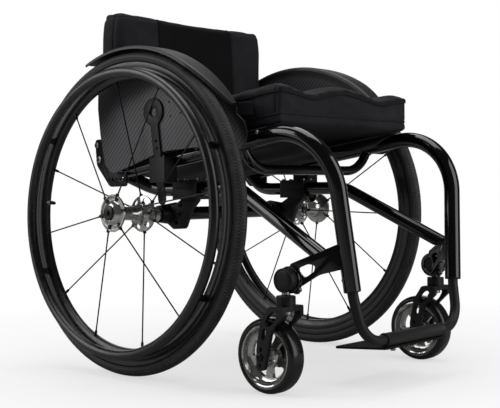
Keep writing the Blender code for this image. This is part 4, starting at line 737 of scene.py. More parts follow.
for side, mark in SIDES:
    half = [
        (0.0015, RIM_INNER),
        (0.0048, 0.2464),
        (0.0066, 0.2478),
        (0.0098, 0.2560),
        (0.0106, 0.2590),
        (0.0107, 0.2640),
        (0.0103, 0.2655),
        (0.0103, 0.2668),
        (0.0107, 0.2682),
        (0.0107, 0.2760),
        (0.0102, 0.2765),
        (0.0090, 0.2765),
        (0.0087, 0.2760),
        (0.0087, 0.2704),
    ]
    profile = half + [(-y, r) for y, r in reversed(half)]
    piece(
        f"rim_{mark}",
        moved(turned(profile, 120, bored=True), outboard(side)),
        black_rim,
        f"wheel_{mark}",
        [f"wheel_rim_{mark}"],
        put=at_wheel(side),
        crease=40,
    )
    spokes = []
    nipples = []
    ends = []
    for k in range(12):
        outer = 1 if k % 2 == 0 else -1
        ray = ray_at(FIRST_SPOKE[mark] + math.pi * k / 6)
        shift = Vector((0, side * outer, 0))
        low = ray * (HUB_FLANGE_RADIUS - 0.004) + shift * HUB_FLANGE
        high = ray * (RIM_INNER + 0.001) + shift * 0.003
        line = (high - low).normalized()
        spokes.append(
            tube(
                [low, low.lerp(high, 0.06), low.lerp(high, 0.1), low.lerp(high, 0.9), high],
                lambda i: (0.0015, 0.0015, 0.0013, 0.0013, 0.0015)[i],
                12,
            )
        )
        nipple = turned(
            [
                (0, 0), (0, 0.0020), (0.0010, 0.0025), (0.0105, 0.0026), (0.0110, 0.0032),
                (0.0135, 0.0032), (0.0135, 0),
            ],
            20,
        )
        nipples.append(moved(nipple, facing(high - line * 0.0115, line)))
        nut = turned(
            [
                (-0.0035, 0), (-0.0035, 0.0026), (-0.0022, 0.0033), (0.0018, 0.0033),
                (0.0030, 0.0024), (0.0030, 0),
            ],
            20,
        )
        ends.append(moved(nut, facing(ray * (HUB_FLANGE_RADIUS + 0.0004) + shift * HUB_FLANGE, ray)))
        if outer == 1:
            button_head = turned(
                [(0.0345, 0), (0.0345, 0.0036), (0.0368, 0.0036), (0.0374, 0.0030), (0.0376, 0)], 20
            )
            ends.append(moved(button_head, facing(ray * 0.0270, shift)))
    piece(f"spokes_{mark}", merged(*spokes), black_steel, f"wheel_{mark}", put=at_wheel(side))
    piece(
        f"spoke_nipples_{mark}", merged(*nipples), black_steel, f"wheel_{mark}", put=at_wheel(side)
    )
    piece(f"spoke_ends_{mark}", merged(*ends), black_steel, f"wheel_{mark}", put=at_wheel(side))
    valve_way = ray_at(VALVE_TURN)
    stem = turned([(0, 0), (0, 0.0030), (0.0115, 0.0030), (0.0120, 0.0026), (0.0125, 0)], 24)
    lock_ring = turned([(0.0, 0.0), (0.0, 0.0048), (0.0022, 0.0048), (0.0026, 0.0042), (0.0026, 0)], 24)
    cap = turned([(0.0075, 0), (0.0075, 0.0038), (0.0160, 0.0036), (0.0205, 0.0028), (0.0215, 0)], 24)
    stand = facing(valve_way * (RIM_INNER + 0.0004), -valve_way)
    piece(
        f"valve_stem_{mark}",
        merged(moved(stem, stand), moved(lock_ring, stand)),
        zinc_steel,
        f"wheel_{mark}",
        put=at_wheel(side),
    )
    piece(
        f"valve_cap_{mark}", moved(cap, stand), moulded_nylon, f"wheel_{mark}", put=at_wheel(side)
    )

# Hand rims.
# 18 mm aluminium hoops, anodised black, each held 32 mm outboard of its rim by six short tabs
# that are riveted to the hoop and screwed to the rim.
for side, mark in SIDES:
    hoop = turned(
        [
            (0.032 + 0.0091 * math.cos(math.tau * k / 28), 0.256 + 0.0091 * math.sin(math.tau * k / 28))
            for k in range(28)
        ],
        144,
        bored=True,
    )
    piece(
        f"push_hoop_{mark}",
        moved(hoop, outboard(side)),
        black_rim,
        f"wheel_{mark}",
        [f"hand_rim_{mark}"],
        put=at_wheel(side),
    )
    tabs = []
    for k in range(6):
        turn = math.radians(26.5) + math.tau * k / 6
        ray = ray_at(turn)
        along = Vector((-math.sin(turn), 0, math.cos(turn)))
        out = Vector((0, side, 0))
        rings = []
        for y, width, thick, lift in (
            (0.0110, 0.0145, 0.0052, 0.0),
            (0.0125, 0.0140, 0.0042, 0.0),
            (0.0180, 0.0105, 0.0036, 0.0),
            (0.0235, 0.0110, 0.0042, 0.0),
            (0.0280, 0.0130, 0.0060, 0.0),
        ):
            ring = []
            for c, s in ((1, 1), (1, -1), (-1, -1), (-1, 1)):
                ring.append(ray * (0.256 + s * thick / 2 + lift) + along * (c * width / 2) + out * y)
            rings.append(ring)
        tabs.append(skinned(rings))
    piece(
        f"hoop_tabs_{mark}",
        merged(*tabs),
        satin_anodised,
        f"wheel_{mark}",
        put=at_wheel(side),
        edge=0.0006,
    )

# Wheel hubs.
# Turned from one bar of aluminium and polished bright, with a waisted barrel. The outer flange
# has a cone round the axle's head and a duller groove for six spoke heads; six round windows are
# drilled through the inner flange between its spokes.
hub_bright, tree, surface, place = new_finish("turned_bright_aluminium", {"Metallic": 0.88})
in_plane = add(tree, "VectorMath", {0: place, 1: (1, 0, 1)}, operation="MULTIPLY")
from_axle = add(tree, "VectorMath", {0: in_plane}, operation="LENGTH")
sideways = add(tree, "SeparateXYZ", {"Vector": place}).node.outputs["Y"]
# The lathe's feed marks are 0.12 mm apart on the real hub and are drawn at 0.6 mm.
travel = add(tree, "Math", {0: from_axle, 1: sideways}, operation="ADD")
feed = add(tree, "Math", {0: travel, 1: math.tau / 0.0006}, operation="MULTIPLY")
feed = add(tree, "Math", {0: feed}, operation="SINE")
add(tree, "Bump", {"Height": feed, "Distance": 0.000004, "Strength": 0.35}, surface["Normal"])
past_cone = add(tree, "MapRange", {0: from_axle, 1: 0.0238, 2: 0.0244})
inside_rim = add(tree, "MapRange", {0: from_axle, 1: 0.0294, 2: 0.0302, 3: 1, 4: 0})
in_groove = add(tree, "Math", {0: past_cone, 1: inside_rim}, operation="MULTIPLY")
off_middle = add(tree, "Math", {0: sideways}, operation="ABSOLUTE")
near_face = add(tree, "MapRange", {0: off_middle, 1: 0.0330, 2: 0.0340})
in_groove = add(tree, "Math", {0: in_groove, 1: near_face}, operation="MULTIPLY")
clouds = add(tree, "TexNoise", {"Vector": place, "Scale": 1000 / 7, "Detail": 4, "Roughness": 0.65})
dulled = add(tree, "Math", {0: in_groove, 1: 0.3}, operation="MULTIPLY")
shine = add(tree, "Math", {0: clouds, 1: dulled}, operation="SUBTRACT")
add(tree, "Mix", {0: shine, 6: srgb("#6f6f6d"), 7: srgb("#f2f2ef")}, surface["Base Color"], data_type="RGBA")
add(tree, "MapRange", {0: in_groove, 3: 0.1, 4: 0.3}, surface["Roughness"])


def carved(shape, *cutters):
    """Cuts shapes out of another."""
    for cutter in cutters:
        held = []
        for name, source in (("blank", shape), ("cutter", cutter)):
            mesh = bpy.data.meshes.new(name)
            source.to_mesh(mesh)
            source.free()
            obj = bpy.data.objects.new(name, mesh)
            bpy.context.scene.collection.objects.link(obj)
            held.append(obj)
        mill = held[0].modifiers.new("Cut", "BOOLEAN")
        mill.operation = "DIFFERENCE"
        mill.solver = "EXACT"
        mill.object = held[1]
        ready = held[0].evaluated_get(bpy.context.evaluated_depsgraph_get())
        shape = bmesh.new()
        shape.from_mesh(ready.to_mesh())
        ready.to_mesh_clear()
        for obj in held:
            mesh = obj.data
            bpy.data.objects.remove(obj)
            bpy.data.meshes.remove(mesh)
    return shape


for side, mark in SIDES:
    profile = [
        (0.0415, 0.0066),
        (0.0415, 0.0136),
        (0.0440, 0.0138),
        (0.0444, 0.0142),
        (0.0440, 0.0152),
        (0.0405, 0.0200),
        (0.0368, 0.0230),
        (0.0352, 0.0240),
        (0.0350, 0.0250),
        (0.0350, 0.0290),
        (0.0354, 0.0300),
        (0.0372, 0.0306),
        (0.0378, 0.0314),
        (0.0378, 0.0330),
        (0.0371, 0.0338),
        (0.0362, 0.0341),
        (0.0348, 0.0341),
        (0.0339, 0.0336),
        (0.0332, 0.0322),
        (0.0316, 0.0240),
        (0.0280, 0.0188),
        (0.0230, 0.0158),
        (0.0140, 0.0134),
        (0.0060, 0.0126),
        (0.0, 0.0124),
    ]
    inboard = [(-y, r) for y, r in reversed(profile[6:-1])]
    inboard += [
        (-0.0385, 0.0180), (-0.0440, 0.0137), (-0.0545, 0.0135), (-0.0555, 0.0127), (-0.0555, 0.0066)
    ]
    hub = moved(turned(profile + inboard, 72, bored=True), outboard(side))
    holes = []
    for k in range(0, 12, 2):
        turn = FIRST_SPOKE[mark] + math.pi * k / 6
        centre = ray_at(turn) * 0.0250
        bore = turned([(-0.006, 0), (-0.006, 0.0060), (0.006, 0.0060), (0.006, 0)], 28)
        holes.append(moved(bore, facing(centre + Vector((0, -side * 0.0352, 0)), (0, -side, 0))))
    piece(
        f"hub_{mark}",
        carved(hub, merged(*holes)),
        hub_bright,
        f"wheel_{mark}",
        [f"wheel_hub_{mark}"],
        put=at_wheel(side),
        crease=25,
    )
    seal = turned(
        [(-0.0553, 0.0068), (-0.0553, 0.0118), (-0.0560, 0.0118), (-0.0560, 0.0068)], 48, bored=True
    )
    piece(
        f"hub_bearing_seal_{mark}",
        moved(seal, outboard(side)),
        moulded_nylon,
        f"wheel_{mark}",
        put=at_wheel(side),
    )

# Caster arms and housings.
# A forged arm reaches out from the foot of each down tube, welded on and painted with the frame;
# its end is a split ring that clamps the housing of the caster bearings with one pinch screw.
STEM_X = 0.3515
STEM_Y = 0.2213
HOUSING_Z = 0.188

for side, mark in SIDES:
    eased(f"forged_arm_{mark}", f"caster_arm_{mark}", powder_coat, "chair", edge=0.0012)
    # Two lugs stand on the ring at either side of its split, low in front; one screw pulls them together.
    outward = Vector((math.cos(math.radians(-48)), 0, math.sin(math.radians(-48))))
    tangent = Vector((-outward.z, 0, outward.x))
    hub_of_ring = Vector((STEM_X, side * 0.2098, HOUSING_Z))
    lugs = []
    for sign in (-1, 1):
        rings = []
        for y in (-0.0044, 0.0044):
            base = hub_of_ring + Vector((0, y, 0))
            corners = [
                (0.0205, 0.0008), (0.0272, 0.0008), (0.0272, 0.0040), (0.0255, 0.0055), (0.0205, 0.0068)
            ]
            rings.append([base + outward * out + tangent * (sign * along) for out, along in corners])
        lugs.append(skinned(rings))
    piece(f"pinch_lugs_{mark}", merged(*lugs), powder_coat, "chair", edge=0.0007)
    pinch = [(hub_of_ring + outward * 0.0238 + tangent * 0.0057, tangent)]
    screws_at(f"pinch_screw_{mark}", pinch, 0.0036, zinc_steel, "chair", "steel")

    housing = turned(
        [
            (0.2050, 0),
            (0.2050, 0.0125),
            (0.2056, 0.0137),
            (0.2146, 0.0140),
            (0.2146, 0.0190),
            (0.2152, 0.0198),
            (0.2165, 0.0200),
            (0.2280, 0.0200),
            (0.2291, 0.0197),
            (0.2298, 0.0189),
            (0.2301, 0.0172),
            (0.2296, 0.0166),
            (0.2302, 0.0158),
            (0.2306, 0.0100),
            (0.2308, 0.0040),
            (0.2308, 0),
        ],
        64,
    )
    stem_hole = moved(
        turned([(-0.03, 0), (-0.03, 0.0068), (0.0102, 0.0068), (0.0102, 0)], 32),
        Matrix.Translation((STEM_X, side * STEM_Y, HOUSING_Z)),
    )
    piece(
        f"bearing_housing_{mark}",
        carved(moved(housing, facing((STEM_X, 0, HOUSING_Z), (0, side, 0))), stem_hole),
        satin_anodised,
        "chair",
        [f"caster_housing_{mark}"],
        crease=40,
    )

# Caster forks.
# One-piece forks machined from billet and anodised satin black, with lightening windows and
# spare axle holes in both legs; a steel stem bolt turns in the housing above.
FORK_OUTLINE = [
    (0.3085, 0.0405),
    (0.3248, 0.0405),
    (0.3415, 0.108),
    (0.3665, 0.131),
    (0.3665, 0.147),
    (0.3365, 0.147),
    (0.3180, 0.120),
    (0.3085, 0.075),
]
CASTER_X = STEM_X - 0.0352
CASTER_Z = 0.0625


def flat_corners(outline, radii, steps=7):
    return [(p.x, p.y) for p in bent([Vector((u, v, 0)) for u, v in outline], radii, steps, closed=True)]


def plate_across(outline, inner, outer, side=1):
    """An (x, z) outline with thickness across the chair."""
    return skinned([[Vector((x, side * y, z)) for x, z in outline] for y in (inner, outer)])


def oblong(centre, width, height, lean, steps=10):
    radius = width / 2
    straight = height / 2 - radius
    points = []
    for end in (1, -1):
        for step in range(steps + 1):
            turn = math.pi * step / steps + (0 if end == 1 else math.pi)
            high = end * straight + radius * math.sin(turn)
            points.append((centre[0] + radius * math.cos(turn) + lean * high, centre[1] + high))
    return points


def disc(centre, radius, sides=24):
    return [
        (
            centre[0] + radius * math.cos(math.tau * k / sides),
            centre[1] + radius * math.sin(math.tau * k / sides),
        )
        for k in range(sides)
    ]


# Cast urethane is glossy where it is new and duller where it has scuffed.
urethane, tree, surface, place = new_finish("cast_urethane_black", {"IOR": 1.5})
scuffs = add(tree, "TexNoise", {"Vector": place, "Scale": 1000 / 5, "Detail": 5, "Roughness": 0.7})
add(
    tree, "Mix", {0: scuffs, 6: srgb("#0a0a0b"), 7: srgb("#141415")}, surface["Base Color"], data_type="RGBA"
)
add(tree, "MapRange", {0: scuffs, 1: 0.35, 2: 0.7, 3: 0.16, 4: 0.30}, surface["Roughness"])
ripple = add(tree, "TexNoise", {"Vector": place, "Scale": 1000 / 1.8, "Detail": 3})
add(tree, "Bump", {"Height": ripple, "Distance": 0.00002, "Strength": 0.5}, surface["Normal"])

for side, mark in SIDES:
    stand = Matrix.Translation((0, side * STEM_Y, 0))
    at_stem = Matrix.Translation((STEM_X, side * STEM_Y, 0))
    outline = flat_corners(FORK_OUTLINE, [0.0078, 0.0078, 0.02, 0.005, 0.002, 0.008, 0.03, 0.03])
    blank = plate_across(outline, -0.0265, 0.0265)
    windows = [
        oblong((0.3255, 0.1010), 0.0085, 0.019, 0.2),
        oblong((0.3410, 0.1260), 0.018, 0.024, 0.6),
        disc((CASTER_X, CASTER_Z), 0.0043),
        oblong((0.3185, 0.0755), 0.0045, 0.0080, 0.1),
        oblong((0.3168, 0.0490), 0.0045, 0.0070, 0.1),
    ]
    slot_outline = flat_corners(
        [(0.27, 0.02), (0.40, 0.02), (0.40, 0.1385), (0.27, 0.1385)], [0, 0, 0, 0], 1
    )
    fork = carved(
        blank,
        merged(*[plate_across(window, -0.05, 0.05) for window in windows]),
        plate_across(slot_outline, -0.0185, 0.0185),
    )
    fork = moved(fork, stand)
    piece(
        f"fork_{mark}",
        fork,
        satin_anodised,
        f"fork_{mark}",
        [f"caster_fork_{mark}"],
        edge=0.0009,
        crease=30,
    )
    cup = turned(
        [
            (0.1387, 0.0066),
            (0.1387, 0.0150),
            (0.1397, 0.0160),
            (0.1470, 0.0160),
            (0.1476, 0.0156),
            (0.1482, 0.0160),
            (0.1600, 0.0160),
            (0.1606, 0.0156),
            (0.1612, 0.0160),
            (0.1622, 0.0160),
            (0.1630, 0.0152),
            (0.1630, 0.0066),
        ],
        56,
        bored=True,
    )
    piece(
        f"stem_cup_{mark}",
        moved(cup, at_stem),
        satin_anodised,
        f"fork_{mark}",
        crease=25,
    )
    stem = turned(
        [
            (0.1322, 0),
            (0.1322, 0.0080),
            (0.1332, 0.0090),
            (0.1382, 0.0090),
            (0.1382, 0.0065),
            (0.1980, 0.0065),
            (0.1980, 0),
        ],
        40,
    )
    piece(
        f"stem_{mark}",
        moved(stem, at_stem),
        zinc_steel,
        f"fork_{mark}",
        [f"stem_bolt_{mark}"],
        crease=25,
    )
    neck = turned(
        [(0.1632, 0.0066), (0.1632, 0.0080), (0.1644, 0.0074), (0.1652, 0.0074), (0.1652, 0.0066)],
        40,
        bored=True,
    )
    piece(
        f"stem_spacer_{mark}",
        moved(neck, at_stem),
        satin_anodised,
        f"fork_{mark}",
    )
    bolt = turned([(-0.0268, 0), (-0.0268, 0.0040), (0.0268, 0.0040), (0.0268, 0)], 28)
    centre = Vector((CASTER_X, side * STEM_Y, CASTER_Z))
    heads = [
        moved(
            cap_screw(0.0074, head=0.0064, height=0.0030),
            facing(centre + Vector((0, way * 0.0266, 0)), (0, way, 0)),
        )
        for way in (-1, 1)
    ]
    piece(
        f"caster_bolt_{mark}",
        merged(moved(bolt, facing(centre, (0, 1, 0))), *heads),
        black_steel,
        f"fork_{mark}",
        [f"caster_axle_{mark}"],
    )

# Caster wheels.
# 125 mm casters: a tyre of black urethane cast on a deep aluminium barrel that is turned and
# polished, with five windows milled through its web and a boss for the bearings.
for side, mark in SIDES:
    put = Matrix.Translation((CASTER_X - MIDDLE, side * STEM_Y, CASTER_Z))
    half = [
        (0.0010, 0.0625),
        (0.0072, 0.06245),
        (0.0106, 0.0619),
        (0.0136, 0.0607),
        (0.0158, 0.0587),
        (0.0169, 0.0561),
        (0.0169, 0.0535),
        (0.0160, 0.0514),
        (0.0147, 0.0506),
    ]
    profile = half + [(-y, r) for y, r in reversed(half)]
    piece(
        f"caster_tread_{mark}",
        moved(turned(profile, 96, bored=True), outboard(side)),
        urethane,
        f"caster_{mark}",
        [f"caster_tyre_{mark}"],
        put=put,
        crease=50,
    )
    half = [
        (0.0, 0.0501),
        (0.0140, 0.0501),
        (0.0150, 0.0510),
        (0.0158, 0.0510),
        (0.0161, 0.0498),
        (0.0152, 0.0478),
        (0.0120, 0.0468),
        (0.0086, 0.0455),
        (0.0060, 0.0434),
        (0.0042, 0.0406),
        (0.0034, 0.0370),
        (0.0034, 0.0190),
        (0.0048, 0.0160),
        (0.0075, 0.0140),
        (0.0110, 0.0128),
        (0.0158, 0.0118),
        (0.0166, 0.0108),
        (0.0166, 0.0088),
        (0.0150, 0.0086),
        (0.0150, 0.0044),
        (0.0, 0.0044),
    ]
    profile = half + [(-y, r) for y, r in reversed(half[1:-1])]
    barrel = moved(turned(profile, 80, bored=True), outboard(side))
    windows = []
    for k in range(5):
        turn = math.tau * (k + 0.25) / 5
        spread_half = math.radians(24)
        outline = []
        for step in range(9):
            a = turn - spread_half + 2 * spread_half * step / 8
            outline.append((0.0375 * math.cos(a), 0.0375 * math.sin(a)))
        for step in range(5):
            a = turn + spread_half * 0.8 - 1.6 * spread_half * step / 4
            outline.append((0.0205 * math.cos(a), 0.0205 * math.sin(a)))
        windows.append(
            plate_across(
                flat_corners(outline, [0.003] + [0] * 7 + [0.003, 0.003] + [0] * 3 + [0.003], 4), -0.02, 0.02
            )
        )
    piece(
        f"caster_barrel_{mark}",
        carved(barrel, merged(*windows)),
        hub_bright,
        f"caster_{mark}",
        [f"caster_rim_{mark}"],
        put=put,
        crease=25,
    )
    for way, label in ((1, "outer"), (-1, "inner")):
        seal = turned(
            [(0.0152, 0.0046), (0.0152, 0.0085), (0.0158, 0.0083), (0.0158, 0.0046)], 40, bored=True
        )
        piece(
            f"caster_seal_{label}_{mark}",
            moved(seal, outboard(side * way)),
            moulded_nylon,
            f"caster_{mark}",
            put=put,
        )

# Footrest.
# A bent 18 mm aluminium tube in matte black powder slides up into both down tubes, where a
# clamp bush holds it; a ribbed rubber sleeve and a flat plate of glass-filled nylon carry the feet.
matte_powder, tree, surface, place = new_finish(
    "powder_coat_matte_black", {"Specular IOR Level": 0.35, "IOR": 1.5}
)
cast = add(tree, "TexNoise", {"Vector": place, "Scale": 1000 / 18, "Detail": 4})
add(tree, "Mix", {0: cast, 6: srgb("#111112"), 7: srgb("#1a1a1b")}, surface["Base Color"], data_type="RGBA")
grain = add(tree, "TexNoise", {"Vector": place, "Scale": 1000 / 0.8, "Roughness": 0.6})
add(tree, "MapRange", {0: grain, 1: 0.3, 2: 0.7, 3: 0.42, 4: 0.55}, surface["Roughness"])
add(tree, "Bump", {"Height": grain, "Distance": 0.00003, "Strength": 0.6}, surface["Normal"])

FOOT_X = 0.448
FOOT_Z = 0.084
foot_corners = []
for side in (-1, 1):
    up_line = (on_side(RAIL_CORNER, side) - on_side(RAIL_FOOT, side)).normalized()
    foot = on_side(RAIL_FOOT, side)
    foot_corners.append(
        [foot + up_line * 0.055, foot - up_line * 0.010, Vector((FOOT_X, side * 0.1414, FOOT_Z))]
    )
foot_line = bent(foot_corners[0] + foot_corners[1][::-1], [0, 0.03, 0.05, 0.05, 0.03, 0], 16)
piece(
    "footrest_bent_tube", tube(foot_line, 0.009, 36), matte_powder, "chair", ["footrest_tube"]
)
for side, mark in SIDES:
    down = (on_side(RAIL_FOOT, side) - on_side(RAIL_CORNER, side)).normalized()
    bush = turned(
        [
            (-0.004, 0.0088), (-0.004, 0.0120), (0.0004, 0.0120), (0.0004, 0.0143),
            (0.0018, 0.0143), (0.0024, 0.0136), (0.0024, 0.0092),
        ],
        48,
        bored=True,
    )
    piece(
        f"foot_bush_{mark}",
        moved(bush, facing(on_side(RAIL_FOOT, side), down)),
        moulded_nylon,
        "chair",
        crease=25,
    )
    clamp_spot = on_side(RAIL_FOOT, side) - down * 0.016 + Vector((-RAIL_RADIUS, 0, 0))
    screws_at(
        f"foot_clamp_screw_{mark}", [(clamp_spot, Vector((-1, 0, 0)))], 0.005, zinc_steel, "chair", "steel"
    )

sleeve_rubber, tree, surface, place = new_finish(
    "extruded_rubber_sleeve", {"Roughness": 0.5, "Specular IOR Level": 0.35, "IOR": 1.52}
)
cast = add(tree, "TexNoise", {"Vector": place, "Scale": 1000 / 20, "Detail": 5, "Roughness": 0.7})
add(tree, "Mix", {0: cast, 6: srgb("#121213"), 7: srgb("#1f1f20")}, surface["Base Color"], data_type="RGBA")
spot = add(tree, "SeparateXYZ", {"Vector": place}).node.outputs
up = add(tree, "Math", {0: spot["Z"], 1: FOOT_Z}, operation="SUBTRACT")
ahead = add(tree, "Math", {0: spot["X"], 1: FOOT_X}, operation="SUBTRACT")
around = add(tree, "Math", {0: up, 1: ahead}, operation="ARCTAN2")
# Fine lengthwise ribs, 36 round the sleeve, 2 mm apart.
ribs = add(tree, "Math", {0: around, 1: 36}, operation="MULTIPLY")
ribs = add(tree, "Math", {0: ribs}, operation="SINE")
grain = add(tree, "TexNoise", {"Vector": place, "Scale": 1000 / 0.9, "Detail": 3})
grained = add(tree, "Bump", {"Height": grain, "Distance": 0.00004, "Strength": 0.6})
ribbed = {"Height": ribs, "Distance": 0.00012, "Strength": 0.5, "Normal": grained}
add(tree, "Bump", ribbed, surface["Normal"])
sleeve = turned(
    [
        (-0.087, 0.0093),
        (-0.087, 0.0112),
        (-0.0862, 0.0118),
        (-0.0850, 0.0118),
        (-0.0842, 0.0114),
        (0.0842, 0.0114),
        (0.0850, 0.0118),
        (0.0862, 0.0118),
        (0.087, 0.0112),
        (0.087, 0.0093),
    ],
    56,
    bored=True,
)
piece(
    "footrest_grip",
    moved(sleeve, facing((FOOT_X, 0, FOOT_Z), (0, 1, 0))),
    sleeve_rubber,
    "chair",
    ["footrest_sleeve"],
)

foot_nylon, tree, surface, place = new_finish(
    "glass_filled_nylon_plate", {"Roughness": 0.7, "Specular IOR Level": 0.15, "IOR": 1.53}
)
cast = add(tree, "TexNoise", {"Vector": place, "Scale": 1000 / 25, "Detail": 5, "Roughness": 0.65})
add(tree, "Mix", {0: cast, 6: srgb("#0f0f10"), 7: srgb("#181819")}, surface["Base Color"], data_type="RGBA")
# Raised anti-slip bars, 5 mm apart, run across the plate.
ahead = add(tree, "SeparateXYZ", {"Vector": place}).node.outputs["X"]
bars = add(tree, "Math", {0: ahead, 1: math.tau / 0.005}, operation="MULTIPLY")
bars = add(tree, "Math", {0: bars}, operation="SINE")
bars = add(tree, "MapRange", {0: bars, 1: 0.1, 2: 0.7})
grain = add(tree, "TexNoise", {"Vector": place, "Scale": 1000, "Detail": 3})
grained = add(tree, "Bump", {"Height": grain, "Distance": 0.00005, "Strength": 0.7})
barred = {"Height": bars, "Distance": 0.00035, "Strength": 0.6, "Normal": grained}
add(tree, "Bump", barred, surface["Normal"])
eased("foot_plate", "footplate", foot_nylon, "chair", edge=0.0012)
plate_bolts = []
for y in (-0.055, 0.0, 0.055):
    plate_bolts.append((Vector((FOOT_X - 0.004, y, FOOT_Z - 0.0185)), Vector((0.07, 0, -1)).normalized()))
screws_at("plate_bolts", plate_bolts, 0.0055, zinc_steel, "chair", "steel")

# Seat sling.
# Black nylon webbing cloth, doubled and hemmed, laced over both rails and screwed down their
# outer sides; it hangs tight between them with a few long creases from the pull.
cloth_sheen = {"Specular IOR Level": 0.2, "Sheen Weight": 0.04, "IOR": 1.5}
woven_nylon, tree, surface, place = new_finish(
    "woven_nylon_black", {"Roughness": 0.75, "Sheen Roughness": 0.5, **cloth_sheen}
)
fading = add(tree, "TexNoise", {"Vector": place, "Scale": 1000 / 60, "Detail": 4, "Roughness": 0.6})
fading = add(tree, "MapRange", {0: fading, 1: 0.3, 2: 0.7})
add(
    tree, "Mix", {0: fading, 6: srgb("#0c0c0f"), 7: srgb("#141317")}, surface["Base Color"], data_type="RGBA"
)
# Basket weave with yarns 0.9 mm apart on the real cloth, drawn at 1.6 mm.
yarns = add(tree, "VectorMath", {0: place, "Scale": math.tau / 0.0032}, operation="SCALE")
yarns = add(tree, "VectorMath", {0: yarns}, operation="SINE")
over = add(tree, "SeparateXYZ", {"Vector": yarns}).node.outputs
weave = add(tree, "Math", {0: over["X"], 1: over["Y"]}, operation="MULTIPLY")
fibres = add(tree, "TexNoise", {"Vector": place, "Scale": 1000, "Detail": 3})
hairy = add(tree, "Bump", {"Height": fibres, "Distance": 0.00005, "Strength": 0.6})
woven = {"Height": weave, "Distance": 0.00015, "Strength": 0.6, "Normal": hairy}
add(tree, "Bump", woven, surface["Normal"])

SLING_THICKNESS = 0.0025
SLING_REAR = -0.105
SLING_FRONT = 0.285
SLING_LEAVE = math.radians(24)
SLING_WRAP = math.radians(40)


def sling_section(x):
    """Points across the sling from one rail to the other, each with its outward direction."""
    hold = RAIL_RADIUS + 0.0003
    height = rail_height(x)
    half = RAIL_REAR.y - hold * math.sin(SLING_LEAVE)
    drop = half * math.tan(SLING_LEAVE) / 2
    cloth = []
    for step in range(11):
        turn = -SLING_WRAP + (SLING_LEAVE + SLING_WRAP) * step / 10
        lean = Vector((0, math.sin(turn), math.cos(turn)))
        cloth.append((Vector((x, -RAIL_REAR.y, height)) + lean * hold, lean))
    leave = height + hold * math.cos(SLING_LEAVE)
    for step in range(1, 48):
        share = 2 * step / 48 - 1
        slope = math.atan(share * math.tan(SLING_LEAVE))
        cloth.append(
            (
                Vector((x, half * share, leave - drop * (1 - share * share))),
                Vector((0, -math.sin(slope), math.cos(slope))),
            )
        )
    for point, lean in reversed(cloth[:11]):
        cloth.append((Vector((x, -point.y, point.z)), Vector((0, -lean.y, lean.z))))
    return cloth


sling_rings = []
for index in range(41):
    x = SLING_REAR + (SLING_FRONT - SLING_REAR) * index / 40
    section = sling_section(x)
    over = []
    under = []
    for point, lean in section:
        inside = max(0.0, 1 - abs(point.y) / 0.170)
        pull = 0.0012 * math.sin(point.y * 95 + 1.3 * math.sin(x * 21)) * min(1.0, inside * 3)
        pull += 0.0008 * noise.noise(Vector((x * 9, point.y * 40, 2.0))) * min(1.0, inside * 3)
        over.append(point + lean * (SLING_THICKNESS + min(pull, 0.0)))
        under.append(point + lean * pull * 1.6)
    sling_rings.append(over + under[::-1])
sling = piece("sling", skinned(sling_rings), woven_nylon, "chair", ["seat_sling"], crease=60)
section = sling_section(0.1)

# Seat cushion.
# A contoured foam block in a zipped cover: firm woven panels round the sides, and a stretch
# knit top that is pulled over the thigh channels and the ridge between them.
CUSHION_REAR = -0.040
CUSHION_FRONT = 0.3195
CUSHION_HALF = 0.192
CUSHION_THICK = 0.0665


def cushion_base(x):
    return rail_height(x) + RAIL_RADIUS + SLING_THICKNESS + 0.0012


def cushion_top(x, y):
    """Height of the foam's top: two thigh channels, a low ridge between them and a raised rim."""
    share = (x - CUSHION_REAR) / (CUSHION_FRONT - CUSHION_REAR)
    across = y / CUSHION_HALF
    channel = 0.0125 * math.exp(-(((abs(y) - 0.098) / 0.045) ** 2))
    crown = 0.0035 * (1 - across**2) + 0.0035 * math.sin(math.pi * min(max(share, 0.0), 1.0))
    return cushion_base(x) + CUSHION_THICK + crown - channel * (0.35 + 0.65 * share)


def soft_block(nx, ny, nz, inset):
    """A closed grid block in the cushion's shape, a little smaller all round by inset."""
    shape = bmesh.new()
    grid = {}

    def corner(i, j, k):
        key = (i, j, k)
        if key not in grid:
            a, b, c = i / nx, j / ny, k / nz
            x = CUSHION_REAR + inset + a * (CUSHION_FRONT - CUSHION_REAR - 2 * inset)
            y = (2 * b - 1) * (CUSHION_HALF - inset)
            low = cushion_base(x) + inset * 0.4
            high = cushion_top(x, y) - inset
            grid[key] = shape.verts.new((x, y, low + c * (high - low)))
        return grid[key]

    def quad(*keys):
        shape.faces.new([corner(*key) for key in keys])

    for i in range(nx):
        for j in range(ny):
            quad((i, j, 0), (i, j + 1, 0), (i + 1, j + 1, 0), (i + 1, j, 0))
            quad((i, j, nz), (i + 1, j, nz), (i + 1, j + 1, nz), (i, j + 1, nz))
    for i in range(nx):
        for k in range(nz):
            quad((i, 0, k), (i + 1, 0, k), (i + 1, 0, k + 1), (i, 0, k + 1))
            quad((i, ny, k), (i, ny, k + 1), (i + 1, ny, k + 1), (i + 1, ny, k))
    for j in range(ny):
        for k in range(nz):
            quad((0, j, k), (0, j, k + 1), (0, j + 1, k + 1), (0, j + 1, k))
            quad((nx, j, k), (nx, j + 1, k), (nx, j + 1, k + 1), (nx, j, k + 1))
    bmesh.ops.recalc_face_normals(shape, faces=shape.faces)
    return shape


